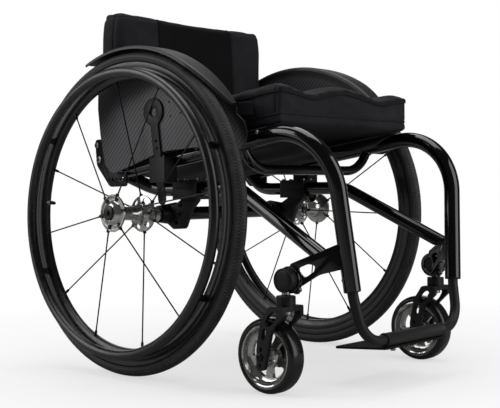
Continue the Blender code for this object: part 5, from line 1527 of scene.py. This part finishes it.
def swollen(shape, voxel, pressure, cap, frames=20):
    """Remeshes a foam shape, lets its cover swell under pressure by up to cap, and subdivides it once."""
    mesh = bpy.data.meshes.new("foam")
    shape.to_mesh(mesh)
    shape.free()
    foam = bpy.data.objects.new("foam", mesh)
    bpy.context.scene.collection.objects.link(foam)
    remesh = foam.modifiers.new("Remesh", "REMESH")
    remesh.mode = "VOXEL"
    remesh.voxel_size = voxel
    graph = bpy.context.evaluated_depsgraph_get()
    start = bpy.data.meshes.new_from_object(foam.evaluated_get(graph))
    foam.modifiers.remove(remesh)
    foam.data = start
    before = [vert.co.copy() for vert in start.vertices]
    cloth = foam.modifiers.new("Cloth", "CLOTH")
    cloth.settings.quality = 5
    cloth.settings.mass = 0.3
    cloth.settings.tension_stiffness = 20
    cloth.settings.compression_stiffness = 20
    cloth.settings.bending_stiffness = 2.0
    cloth.settings.use_pressure = True
    cloth.settings.uniform_pressure_force = pressure
    cloth.settings.effector_weights.gravity = 0
    cloth.collision_settings.use_self_collision = False
    cloth.point_cache.frame_start = 1
    cloth.point_cache.frame_end = frames
    scene = bpy.context.scene
    for step in range(1, frames + 1):
        scene.frame_set(step)
    done = foam.evaluated_get(bpy.context.evaluated_depsgraph_get()).to_mesh()
    after = [vert.co.copy() for vert in done.vertices]
    foam.evaluated_get(bpy.context.evaluated_depsgraph_get()).to_mesh_clear()
    foam.modifiers.remove(cloth)
    scene.frame_set(1)
    for vert, old, new in zip(start.vertices, before, after):
        way = new - old
        vert.co = old + (way if way.length <= cap else way * (cap / way.length))
    made = bmesh.new()
    made.from_mesh(start)
    bpy.data.objects.remove(foam)
    bpy.data.meshes.remove(start)
    bmesh.ops.smooth_vert(
        made, verts=made.verts, factor=0.5, use_axis_x=True, use_axis_y=True, use_axis_z=True
    )
    bmesh.ops.subdivide_edges(made, edges=made.edges, cuts=1, use_grid_fill=True, smooth=0.6)
    return made


def groove(distance, width):
    """Depth, from 0 to 1, of a sewn line at a distance."""
    return math.exp(-((distance / width) ** 2))


side_cloth, tree, surface, place = new_finish(
    "woven_polyester_side_panel", {"Roughness": 0.8, "Sheen Roughness": 0.45, **cloth_sheen}
)
fading = add(tree, "TexNoise", {"Vector": place, "Scale": 1000 / 40, "Detail": 5, "Roughness": 0.65})
fading = add(tree, "MapRange", {0: fading, 1: 0.3, 2: 0.7})
add(
    tree, "Mix", {0: fading, 6: srgb("#1a191d"), 7: srgb("#26252a")}, surface["Base Color"], data_type="RGBA"
)
# Yarns 1 mm apart on the real panel, drawn at 1.3 mm.
yarns = add(tree, "VectorMath", {0: place, "Scale": math.tau / 0.0026}, operation="SCALE")
spot = add(tree, "SeparateXYZ", {"Vector": yarns}).node.outputs
round_it = add(tree, "Math", {0: spot["X"], 1: spot["Y"]}, operation="ADD")
warp = add(tree, "Math", {0: round_it}, operation="SINE")
weft = add(tree, "Math", {0: spot["Z"]}, operation="SINE")
weave = add(tree, "Math", {0: warp, 1: weft}, operation="MULTIPLY")
puckers = add(tree, "TexNoise", {"Vector": place, "Scale": 1000 / 7, "Detail": 4})
puckered = add(tree, "Bump", {"Height": puckers, "Distance": 0.0003, "Strength": 0.35})
woven = {"Height": weave, "Distance": 0.00012, "Strength": 0.5, "Normal": puckered}
add(tree, "Bump", woven, surface["Normal"])

stretch_knit, tree, surface, place = new_finish(
    "stretch_knit_top", {**cloth_sheen, "Roughness": 0.75, "Sheen Weight": 0.05, "Sheen Roughness": 0.4}
)
fading = add(tree, "TexNoise", {"Vector": place, "Scale": 1000 / 50, "Detail": 4, "Roughness": 0.6})
fading = add(tree, "MapRange", {0: fading, 1: 0.3, 2: 0.7})
add(
    tree, "Mix", {0: fading, 6: srgb("#0d0d10"), 7: srgb("#151519")}, surface["Base Color"], data_type="RGBA"
)
# Fine ribs of the knit, 1.2 mm apart on the real cover, drawn at 1.8 mm.
sideways = add(tree, "SeparateXYZ", {"Vector": place}).node.outputs["Y"]
loops = add(tree, "Math", {0: sideways, 1: math.tau / 0.0018}, operation="MULTIPLY")
loops = add(tree, "Math", {0: loops}, operation="SINE")
puckers = add(tree, "TexNoise", {"Vector": place, "Scale": 1000 / 10, "Detail": 4})
puckered = add(tree, "Bump", {"Height": puckers, "Distance": 0.0004, "Strength": 0.3})
knitted = {"Height": loops, "Distance": 0.00008, "Strength": 0.45, "Normal": puckered}
add(tree, "Bump", knitted, surface["Normal"])

foam = swollen(soft_block(36, 38, 8, 0.004), 0.005, 4.0, 0.006)
corner_y = CUSHION_HALF - 0.004
for vert in foam.verts:
    x, y, z = vert.co
    base, top = cushion_base(x), cushion_top(x, y)
    level = (z - base) / (top - base)
    on_wall = 0.08 < level < 0.93
    depth = 0.0
    if on_wall:
        depth += 0.0016 * groove(z - base - 0.0125, 0.0016)
        depth += 0.0010 * groove(z - base - 0.0185, 0.0014)
        if abs(y) > corner_y - 0.012:
            depth += 0.0030 * groove(x - (CUSHION_FRONT - 0.018), 0.0022)
            depth += 0.0014 * groove(x - (CUSHION_REAR + 0.016), 0.0020)
        depth += 0.0010 * (0.5 + 0.5 * noise.noise(Vector((x * 16, y * 16, z * 26))))
    vert.co -= vert.normal * depth
for vert in foam.verts:
    vert.co.z = max(vert.co.z, cushion_base(vert.co.x) - 0.0006)
    vert.co.y = max(-CUSHION_HALF - 0.001, min(CUSHION_HALF + 0.001, vert.co.y))

BAND = 0.0155  # how far the knit top comes down over the side panels


def band_edge(x, y):
    """Height of the knit top's lower edge, a little wavy where the stretch cloth pulls at its seam."""
    inner_x = max(CUSHION_REAR + 0.004, min(CUSHION_FRONT - 0.004, x))
    inner_y = max(-0.187, min(0.187, y))
    return cushion_top(inner_x, inner_y) - BAND + 0.0012 * math.sin(inner_y * 62 + inner_x * 48)


cover = foam.copy()
for vert in cover.verts:
    vert.co.z -= band_edge(vert.co.x, vert.co.y)
everything = [*cover.verts, *cover.edges, *cover.faces]
bmesh.ops.bisect_plane(cover, geom=everything, plane_co=(0, 0, 0), plane_no=(0, 0, 1), clear_inner=True)
for vert in cover.verts:
    vert.co.z += band_edge(vert.co.x, vert.co.y)
foam_skin = BVHTree.FromBMesh(foam)
cushion = piece("cushion", foam, side_cloth, "chair", ["seat_cushion"], crease=80)
for vert in cover.verts:
    vert.co += vert.normal * 0.0007
knit = piece("cushion_knit_top", cover, stretch_knit, "chair", crease=80)
hem = knit.modifiers.new("Hem", "SOLIDIFY")
hem.thickness = 0.0016
hem.offset = 1.0

tab_rows = []
for step in range(9):
    x = 0.222 + 0.034 * step / 8
    lift = 0.0014 + 0.0006 * math.sin(math.pi * step / 8)
    row = []
    for z in (0.4640, 0.4648, 0.4862, 0.4870):
        row.append(Vector((x, -CUSHION_HALF - lift + (0.0010 if z in (0.4640, 0.4870) else 0.0), z)))
    row += [Vector((x, -CUSHION_HALF + 0.0025, 0.4870)), Vector((x, -CUSHION_HALF + 0.0025, 0.4640))]
    tab_rows.append(row)
piece("cushion_side_patch", skinned(tab_rows), side_cloth, "chair", edge=0.0004, crease=40)

zip_path = [
    Vector((CUSHION_REAR + 0.03, -CUSHION_HALF + 0.0002, cushion_base(CUSHION_REAR + 0.03) + 0.0155)),
    Vector((CUSHION_FRONT - 0.001, -CUSHION_HALF + 0.0002, cushion_base(CUSHION_FRONT) + 0.0155)),
    Vector((CUSHION_FRONT - 0.001, CUSHION_HALF - 0.0002, cushion_base(CUSHION_FRONT) + 0.0155)),
    Vector((CUSHION_REAR + 0.03, CUSHION_HALF - 0.0002, cushion_base(CUSHION_REAR + 0.03) + 0.0155)),
]
zip_line = bent(zip_path, [0, 0.012, 0.012, 0], 8)
fine = []
for a, b in zip(zip_line, zip_line[1:]):
    steps = max(1, round((b - a).length / 0.006))
    fine += [a.lerp(b, s / steps) for s in range(steps)]
fine.append(zip_line[-1])
laid_on = [foam_skin.find_nearest(point)[0] for point in fine]
piece("cushion_zip", tube(laid_on, 0.0011, 10), moulded_nylon, "chair")

# Folding back: canes, hinge castings and the bar between them.
# Straight 22 mm canes in gloss powder coat stand in hinge blocks that turn on shoulder bolts in
# the back brackets; a bar ties the canes together behind the upholstery.
PIVOT_X = -0.148
PIVOT_Z = 0.400
CANE_RADIUS = 0.011
CANE_Y = 0.185
CANE_X = -0.1205
CANE_TOP = 0.668
RIGIDIZER_Z = 0.500

for side, mark in SIDES:
    cane = tube(
        [Vector((CANE_X, side * CANE_Y, 0.4083)), Vector((CANE_X, side * CANE_Y, CANE_TOP))], CANE_RADIUS, 36
    )
    piece(
        f"cane_{mark}",
        cane,
        powder_coat,
        "backrest",
        [f"back_cane_{mark}"],
        edge=0.0006,
        crease=60,
    )
    eased(
        f"hinge_block_{mark}", f"back_hinge_{mark}", satin_anodised, "backrest", edge=0.0008
    )
    eased(f"back_plate_{mark}", f"back_bracket_{mark}", satin_anodised, "chair", edge=0.0007)
    inner, outer = 0.1702, 0.2019
    shank = moved(
        turned([(inner, 0), (inner, 0.004), (outer, 0.004), (outer, 0)], 24),
        facing((PIVOT_X, 0, PIVOT_Z), (0, side, 0)),
    )
    heads = [
        moved(
            cap_screw(0.0088, head=0.0075, height=0.0034),
            facing((PIVOT_X, side * outer, PIVOT_Z), (0, side, 0)),
        ),
        moved(
            cap_screw(0.0088, head=0.0075, height=0.0034),
            facing((PIVOT_X, side * inner, PIVOT_Z), (0, -side, 0)),
        ),
    ]
    piece(
        f"back_shoulder_bolt_{mark}", merged(shank, *heads), zinc_steel, "chair",
        [f"back_pivot_bolt_{mark}"],
    )
    boss = [(Vector((-0.1545, side * 0.2019, 0.4285)), Vector((0, side, 0)))]
    screws_at(f"back_stop_screw_{mark}", boss, 0.0072, zinc_steel, "chair", "steel", height=0.003)
    lock = [(Vector((-0.0745, side * 0.2019, 0.3610)), Vector((0, side, 0)))]
    screws_at(f"back_plate_screw_{mark}", lock, 0.0050, zinc_steel, "chair", "steel")

bar = tube([Vector((CANE_X, y, RIGIDIZER_Z)) for y in (-CANE_Y + 0.0105, CANE_Y - 0.0105)], 0.0095, 36)
piece("cane_bar", bar, powder_coat, "backrest", ["rigidizer_bar"])

# Back upholstery.
# A padded cover: a dark stretch panel down the middle, firmer woven panels at the sides whose
# flaps go round the outside of the canes and close behind with hook tape.
BACK_LOW = 0.456
BACK_HIGH = 0.687
BACK_SEAM = 0.1055
PAD_REAR = CANE_X + CANE_RADIUS + 0.0004
FLAP_INNER = CANE_Y + CANE_RADIUS + 0.0004


def back_half(z):
    if z < 0.635:
        return 0.2015 + 0.0057 * (z - BACK_LOW) / (0.635 - BACK_LOW)
    return 0.2072 - 0.0072 * ((z - 0.635) / (BACK_HIGH - 0.635)) ** 2


back_rings = []
LEVELS = 34
for level in range(LEVELS + 1):
    share = level / LEVELS
    z = BACK_LOW + 0.002 + share * (BACK_HIGH - BACK_LOW - 0.004)
    end = min(share, 1 - share) * (BACK_HIGH - BACK_LOW)
    tuck = 0.006 * max(0.0, 1 - end / 0.010) ** 2
    half = back_half(z) - 0.0015 - 0.35 * tuck
    front = -0.066 - 0.013 * share - 0.002 - tuck
    hollow = 0.012 * math.sin(math.pi * min(1.0, 0.35 + 0.65 * (1 - share)))
    rear = PAD_REAR + 0.001
    ring = []
    for step in range(11):
        y = BACK_SEAM * step / 10
        ring.append((front - hollow * (1 - (step / 10) ** 2), y))
    for step in range(1, 9):
        y = BACK_SEAM + (half - 0.016 - BACK_SEAM) * step / 8
        ring.append((front - 0.0030 * (step / 8) ** 2, y))
    for step in range(1, 7):
        turn = math.pi / 2 * step / 6
        ring.append((front - 0.003 - 0.014 * (1 - math.cos(turn)), half - 0.016 + 0.016 * math.sin(turn)))
    ring += [
        (-0.100, half), (-0.110, half), (-0.120, half - 0.0003), (-0.1300, half - 0.0006),
        (-0.1335, half - 0.0018), (-0.1335, FLAP_INNER + 0.0005),
    ]
    ring += [
        (-0.1205, FLAP_INNER + 0.0005), (rear, FLAP_INNER - 0.001), (rear, 0.170), (rear, 0.14),
        (rear, 0.1055), (rear, 0.05), (rear, 0.0),
    ]
    points = [Vector((x, y, z)) for x, y in ring]
    points += [Vector((x, -y, z)) for x, y in reversed(ring[1:-1])]
    back_rings.append(points)

pad = swollen(skinned(back_rings), 0.0042, 4.0, 0.0035)
for vert in pad.verts:
    x, y, z = vert.co
    depth = 0.0
    facing_front = vert.normal.x > 0.25
    if facing_front or z > BACK_HIGH - 0.012:
        depth += 0.0028 * groove(abs(y) - BACK_SEAM, 0.0024)
        depth += 0.0008 * groove(abs(y) - BACK_SEAM - 0.007, 0.0016)
    if abs(vert.normal.y) > 0.5 and abs(y) > 0.19:
        depth += 0.0030 * groove(x + 0.0985, 0.0022)
        depth += 0.0008 * groove(x + 0.1050, 0.0014)
    if BACK_LOW + 0.004 < z < BACK_HIGH - 0.004:
        depth += 0.0012 * groove(z - BACK_LOW - 0.014, 0.0018)
        if abs(y) > BACK_SEAM:
            depth += 0.0010 * groove(z - BACK_HIGH + 0.012, 0.0018)
    depth += 0.0013 * (0.5 + 0.5 * noise.noise(Vector((x * 12, y * 14, z * 14))))
    vert.co -= vert.normal * depth

back_panel_cloth, tree, surface, place = new_finish(
    "spacer_mesh_back_panel",
    {"Roughness": 0.85, "Specular IOR Level": 0.15, "Sheen Weight": 0.02, "IOR": 1.5},
)
fading = add(tree, "TexNoise", {"Vector": place, "Scale": 1000 / 60, "Detail": 4, "Roughness": 0.6})
fading = add(tree, "MapRange", {0: fading, 1: 0.3, 2: 0.7})
add(
    tree, "Mix", {0: fading, 6: srgb("#08080a"), 7: srgb("#0e0e11")}, surface["Base Color"], data_type="RGBA"
)
# Spacer mesh with 2 mm cells, drawn at 2.4 mm.
cells = add(tree, "TexVoronoi", {"Vector": place, "Scale": 1000 / 2.4})
puckers = add(tree, "TexNoise", {"Vector": place, "Scale": 1000 / 9, "Detail": 4})
puckered = add(tree, "Bump", {"Height": puckers, "Distance": 0.0003, "Strength": 0.3})
meshed = {"Height": cells, "Distance": 0.00025, "Strength": 0.5, "Normal": puckered}
add(tree, "Bump", meshed, surface["Normal"])

upholstery = piece("back_cover", pad, side_cloth, "backrest", ["back_upholstery"], crease=80)
upholstery.data.materials.append(back_panel_cloth)
for face in upholstery.data.polygons:
    spot = face.center
    if abs(spot.y) < BACK_SEAM and (face.normal.x > 0.0 or spot.z > BACK_HIGH - 0.006):
        face.material_index = 1

for index, z in enumerate((0.478, 0.545, 0.610, 0.658)):
    behind = CANE_X - CANE_RADIUS - 0.0006
    strap_rings = []
    for y in (-CANE_Y, -0.12, -0.05, 0.05, 0.12, CANE_Y):
        corners = [(-0.0014, -0.019), (0.0, -0.019), (0.0, 0.019), (-0.0014, 0.019)]
        strap_rings.append([Vector((behind + dx, y, z + dz)) for dx, dz in corners])
    piece(
        f"tension_strap_{index + 1}",
        skinned(strap_rings),
        woven_nylon,
        "backrest",
        edge=0.0004,
        crease=40,
    )

# Side guards.
# Laid up in carbon twill under clear resin: a flat panel whose top edge turns out over the tyre
# as a mudguard and ends in a short lip. A black alloy mount is riveted on and drops into a socket.
carbon, tree, surface, place = new_finish(
    "carbon_twill_laminate",
    {"Specular IOR Level": 0.35, "IOR": 1.55, "Coat Weight": 0.2, "Coat Roughness": 0.25},
)
# 2/2 twill of 3k tows, which lie 2 mm apart; drawn at 2.6 mm.
tows = add(tree, "VectorMath", {0: place, "Scale": 1 / 0.0026}, operation="SCALE")
column = add(tree, "SeparateXYZ", {"Vector": tows}).node.outputs["X"]
counted = add(tree, "VectorMath", {0: tows}, operation="FLOOR")
counted = add(tree, "SeparateXYZ", {"Vector": counted}).node.outputs
diagonal = add(tree, "Math", {0: counted["X"], 1: counted["Z"]}, operation="SUBTRACT")
diagonal = add(tree, "Math", {0: diagonal, 1: 4.0}, operation="FLOORED_MODULO")
sheen_painted_tows = add(tree, "Math", {0: diagonal, 1: 1.5}, operation="LESS_THAN")
# The turned-out mudguard and the top band of the flat panel under it are painted plain dark grey, as painted
# shade under the turned-out edge; only the rest of the flat panel shows its twill.
offset = add(tree, "VectorMath", {0: place, 1: (0, 0, AXLE_HEIGHT)}, operation="SUBTRACT")
in_plane = add(tree, "VectorMath", {0: offset, 1: (1, 0, 1)}, operation="MULTIPLY")
from_axle = add(tree, "VectorMath", {0: in_plane}, operation="LENGTH")
unshaded_flat_zone = add(tree, "MapRange", {0: from_axle, 1: 0.282, 2: 0.292, 3: 1, 4: 0})
shown = add(tree, "Math", {0: sheen_painted_tows, 1: unshaded_flat_zone}, operation="MULTIPLY")
# Painted sheen: the tows that lie one way are painted a lighter grey than the others.
twill = add(tree, "Mix", {0: shown, 6: srgb("#303033"), 7: srgb("#4e4e52")}, data_type="RGBA")
# Painted shade: dark grey over the mudguard and over the panel's top band below it.
add(tree, "Mix", {0: unshaded_flat_zone, 6: srgb("#1a1a1c"), 7: twill}, surface["Base Color"], data_type="RGBA")
add(tree, "MapRange", {0: shown, 3: 0.5, 4: 0.36}, surface["Roughness"])
tow_round = add(tree, "Math", {0: column, 1: math.pi}, operation="MULTIPLY")
tow_round = add(tree, "Math", {0: tow_round}, operation="SINE")
tow_round = add(tree, "Math", {0: tow_round}, operation="ABSOLUTE")
height = add(tree, "Math", {0: tow_round, 1: shown}, operation="ADD")
height = add(tree, "Math", {0: height, 1: unshaded_flat_zone}, operation="MULTIPLY")
add(tree, "Bump", {"Height": height, "Distance": 0.00005, "Strength": 0.5}, surface["Normal"])

GUARD_INNER = 0.2105
GUARD_THICK = 0.003
GUARD_RADIUS = 0.306
FENDER_OUTER = 0.2605
GUARD_LOWER = [
    (0.238, 0.4665),
    (0.256, 0.452),
    (0.262, 0.434),
    (0.2595, 0.419),
    (0.252, 0.409),
    (0.236, 0.405),
    (0.138, 0.4125),
    (0.059, 0.409),
    (0.023, 0.402),
    (-0.0521, 0.3815),
    (-0.0893, 0.3716),
    (-0.0990, 0.3735),
    (-0.1165, 0.3885),
    (-0.1300, 0.446),
    (-0.1365, 0.497),
    (-0.1350, 0.540),
]


def on_arc(radius, degrees):
    turn = math.radians(degrees)
    return (radius * math.cos(turn), AXLE_HEIGHT + radius * math.sin(turn))


for side, mark in SIDES:
    arc = [on_arc(GUARD_RADIUS - 0.007, 112 - 75 * step / 48) for step in range(49)]
    middle_y = GUARD_INNER + GUARD_THICK / 2
    panel = plate_across(arc + GUARD_LOWER, GUARD_INNER, GUARD_INNER + GUARD_THICK, side)
    rings = []
    for step in range(73):
        degrees = 112 - 74.2 * step / 72
        reach = FENDER_OUTER - GUARD_INNER
        if degrees < 58:
            reach *= max(0.16, ((degrees - 37) / 21) ** 0.35)
        tip = GUARD_INNER + reach
        bend = min(0.007, reach * 0.45)
        lip = min(0.0062, reach * 0.4)
        half_thick = 0.00125
        line = [(GUARD_RADIUS - 0.013, middle_y), (GUARD_RADIUS - bend - 0.001, middle_y)]
        for k in range(1, 7):
            turn = math.pi / 2 * k / 6
            line.append(
                (
                    GUARD_RADIUS - bend + (bend - half_thick) * math.sin(turn),
                    middle_y + bend * (1 - math.cos(turn)),
                )
            )
        line.append((GUARD_RADIUS - half_thick, max(tip - 0.006, middle_y + bend + 0.0005)))
        for k in range(1, 5):
            turn = math.pi / 2 * k / 4
            line.append(
                (
                    GUARD_RADIUS - half_thick - 0.0028 * (1 - math.cos(turn)),
                    tip - half_thick - 0.0030 + 0.0030 * math.sin(turn),
                )
            )
        line.append((GUARD_RADIUS - lip, tip - half_thick))
        outside, inside = [], []
        for k, (radius, y) in enumerate(line):
            a = line[max(k - 1, 0)]
            b = line[min(k + 1, len(line) - 1)]
            along = Vector((b[0] - a[0], b[1] - a[1]))
            along = along.normalized() if along.length > 1e-9 else Vector((1, 0))
            normal = Vector((along.y, -along.x))
            for bag, sign in ((outside, 1), (inside, -1)):
                r = radius + sign * half_thick * normal.x
                yy = y + sign * half_thick * normal.y
                px, pz = on_arc(r, degrees)
                bag.append(Vector((px, side * yy, pz)))
        rings.append(outside + inside[::-1])
    piece(
        f"guard_panel_{mark}",
        panel,
        carbon,
        f"guard_{mark}",
        [f"side_guard_{mark}"],
        edge=0.0006,
        crease=30,
    )
    piece(f"guard_fender_{mark}", skinned(rings), carbon, f"guard_{mark}", crease=45)
    eased(
        f"guard_holder_{mark}",
        f"guard_mount_{mark}",
        satin_anodised,
        f"guard_{mark}",
        edge=0.0006,
    )
    eased(f"guard_clip_{mark}", f"guard_socket_{mark}", moulded_nylon, "chair", edge=0.0008)
    face_y = 0.2171
    rivets = [
        (Vector((x, side * face_y, z)), Vector((0, side, 0)))
        for x, z in ((0.0351, 0.4285), (0.0369, 0.4155))
    ]
    screws_at(f"holder_rivets_{mark}", rivets, 0.0034, black_steel, f"guard_{mark}", "steel")
    pins = [
        (Vector((x, side * 0.2136, z)), Vector((0, side, 0)))
        for x, z in ((0.069, 0.498), (0.072, 0.472), (0.099, 0.476))
    ]
    screws_at(f"panel_rivets_{mark}", pins, 0.0028, black_steel, f"guard_{mark}", "steel", height=0.0008)

# Floor, light and camera.
# A white studio sweep under a soft box overhead, a second one high on the camera's left with a
# low card beside it, and a third at its right; the camera stands low in front of the right caster.
floor_mesh = bpy.data.meshes.new("studio_floor")
floor_shape = bmesh.new()
bmesh.ops.create_circle(floor_shape, cap_ends=True, segments=96, radius=14)
floor_shape.to_mesh(floor_mesh)
floor_shape.free()
floor = bpy.data.objects.new("studio_floor", floor_mesh)
bpy.context.scene.collection.objects.link(floor)
floor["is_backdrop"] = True
white_floor, tree, surface, place = new_finish(
    "white_studio_floor", {"Roughness": 0.9, "Specular IOR Level": 0.1}
)
# The sweep is burnt out to white for the camera, less so near the chair, where its shadow shows;
# the light that it throws back up at the chair is that of a mid-grey floor.
distance = add(tree, "VectorMath", {0: place}, operation="LENGTH")
burnt = add(tree, "MapRange", {0: distance, 1: 0.3, 2: 1.2, 3: 0.6})
seen = add(tree, "LightPath", {}, out="Is Camera Ray")
add(tree, "Mix", {0: seen, 6: srgb("#a0a0a0"), 7: srgb("#f4f4f4")}, surface["Base Color"], data_type="RGBA")
glow = add(tree, "Emission", {"Color": srgb("#ffffff"), "Strength": 1.0})
share = add(tree, "Math", {0: burnt, 1: seen}, operation="MULTIPLY")
floor_shader = tree.nodes["Principled BSDF"].outputs[0]
shown = tree.nodes["Material Output"].inputs["Surface"]
add(tree, "MixShader", {0: share, 1: floor_shader, 2: glow}, shown)
floor_mesh.materials.append(white_floor)

world = bpy.data.worlds.new("studio")
bpy.context.scene.world = world
world.use_nodes = True
tree = world.node_tree
CAMERA_RIGHT = Vector((0.73075, 0.68253, -0.01274))
CAMERA_UP = Vector((0.00272, 0.01575, 0.99987))
CAMERA_BACK = Vector((0.68264, -0.73069, 0.00965))
CAMERA_SPOT = Vector((1.4236 - MIDDLE, -1.4513, 0.3282))
# The camera sees plain white; gloss sees white only on the wall behind the chair, and a dim room.
way = add(tree, "TexCoord", {}, out="Generated")
toward = add(tree, "VectorMath", {0: way, 1: tuple(-CAMERA_BACK)}, operation="DOT_PRODUCT")
backdrop = add(tree, "MapRange", {0: toward, 1: 0.82, 2: 0.97, 3: 0.05})
rays = add(tree, "LightPath", {}).node.outputs
level = add(tree, "Mix", {0: rays["Is Glossy Ray"], 2: 0.3, 3: backdrop})
sky = tree.nodes["Background"].inputs
sky["Color"].default_value = srgb("#ffffff")
add(tree, "Mix", {0: rays["Is Camera Ray"], 2: level, 3: 1.0}, sky["Strength"])


def soft_box(name, spot, aim, width, height, power):
    """An area lamp at spot, turned to aim; sizes in metres, power in watts."""
    lamp = bpy.data.lights.new(name, "AREA")
    lamp.shape = "RECTANGLE"
    lamp.size = width
    lamp.size_y = height
    lamp.energy = power
    made = bpy.data.objects.new(name, lamp)
    bpy.context.scene.collection.objects.link(made)
    made.location = spot
    made.rotation_euler = (Vector(aim) - Vector(spot)).to_track_quat("-Z", "Y").to_euler()


soft_box("overhead_box", (-0.25, 0.1, 2.6), (0, 0, 0.2), 2.0, 2.0, 32)
soft_box("left_box", (-1.4, -1.65, 1.4), (0, 0, 0.35), 1.5, 1.5, 19)
soft_box("low_card", (-1.6, -1.8, 0.28), (0, 0, 0.28), 1.4, 0.5, 1.5)
soft_box("right_box", (1.6, 0.45, 0.9), (0, 0, 0.35), 1.1, 1.8, 13)

PHOTO_WIDTH = 500
FOCAL_LENGTH = 1006.66  # in pixels of the photograph, from the two rear wheels' circles in it
lens = bpy.data.cameras.new("photo_camera")
lens.sensor_width = 36
lens.lens = lens.sensor_width * FOCAL_LENGTH / PHOTO_WIDTH
camera = bpy.data.objects.new("photo_camera", lens)
bpy.context.scene.collection.objects.link(camera)
turn = Matrix((CAMERA_RIGHT, CAMERA_UP, CAMERA_BACK)).transposed().to_4x4()
camera.matrix_world = Matrix.Translation(CAMERA_SPOT) @ turn
bpy.context.scene.camera = camera
bpy.context.scene.view_settings.view_transform = "Standard"

low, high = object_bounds()
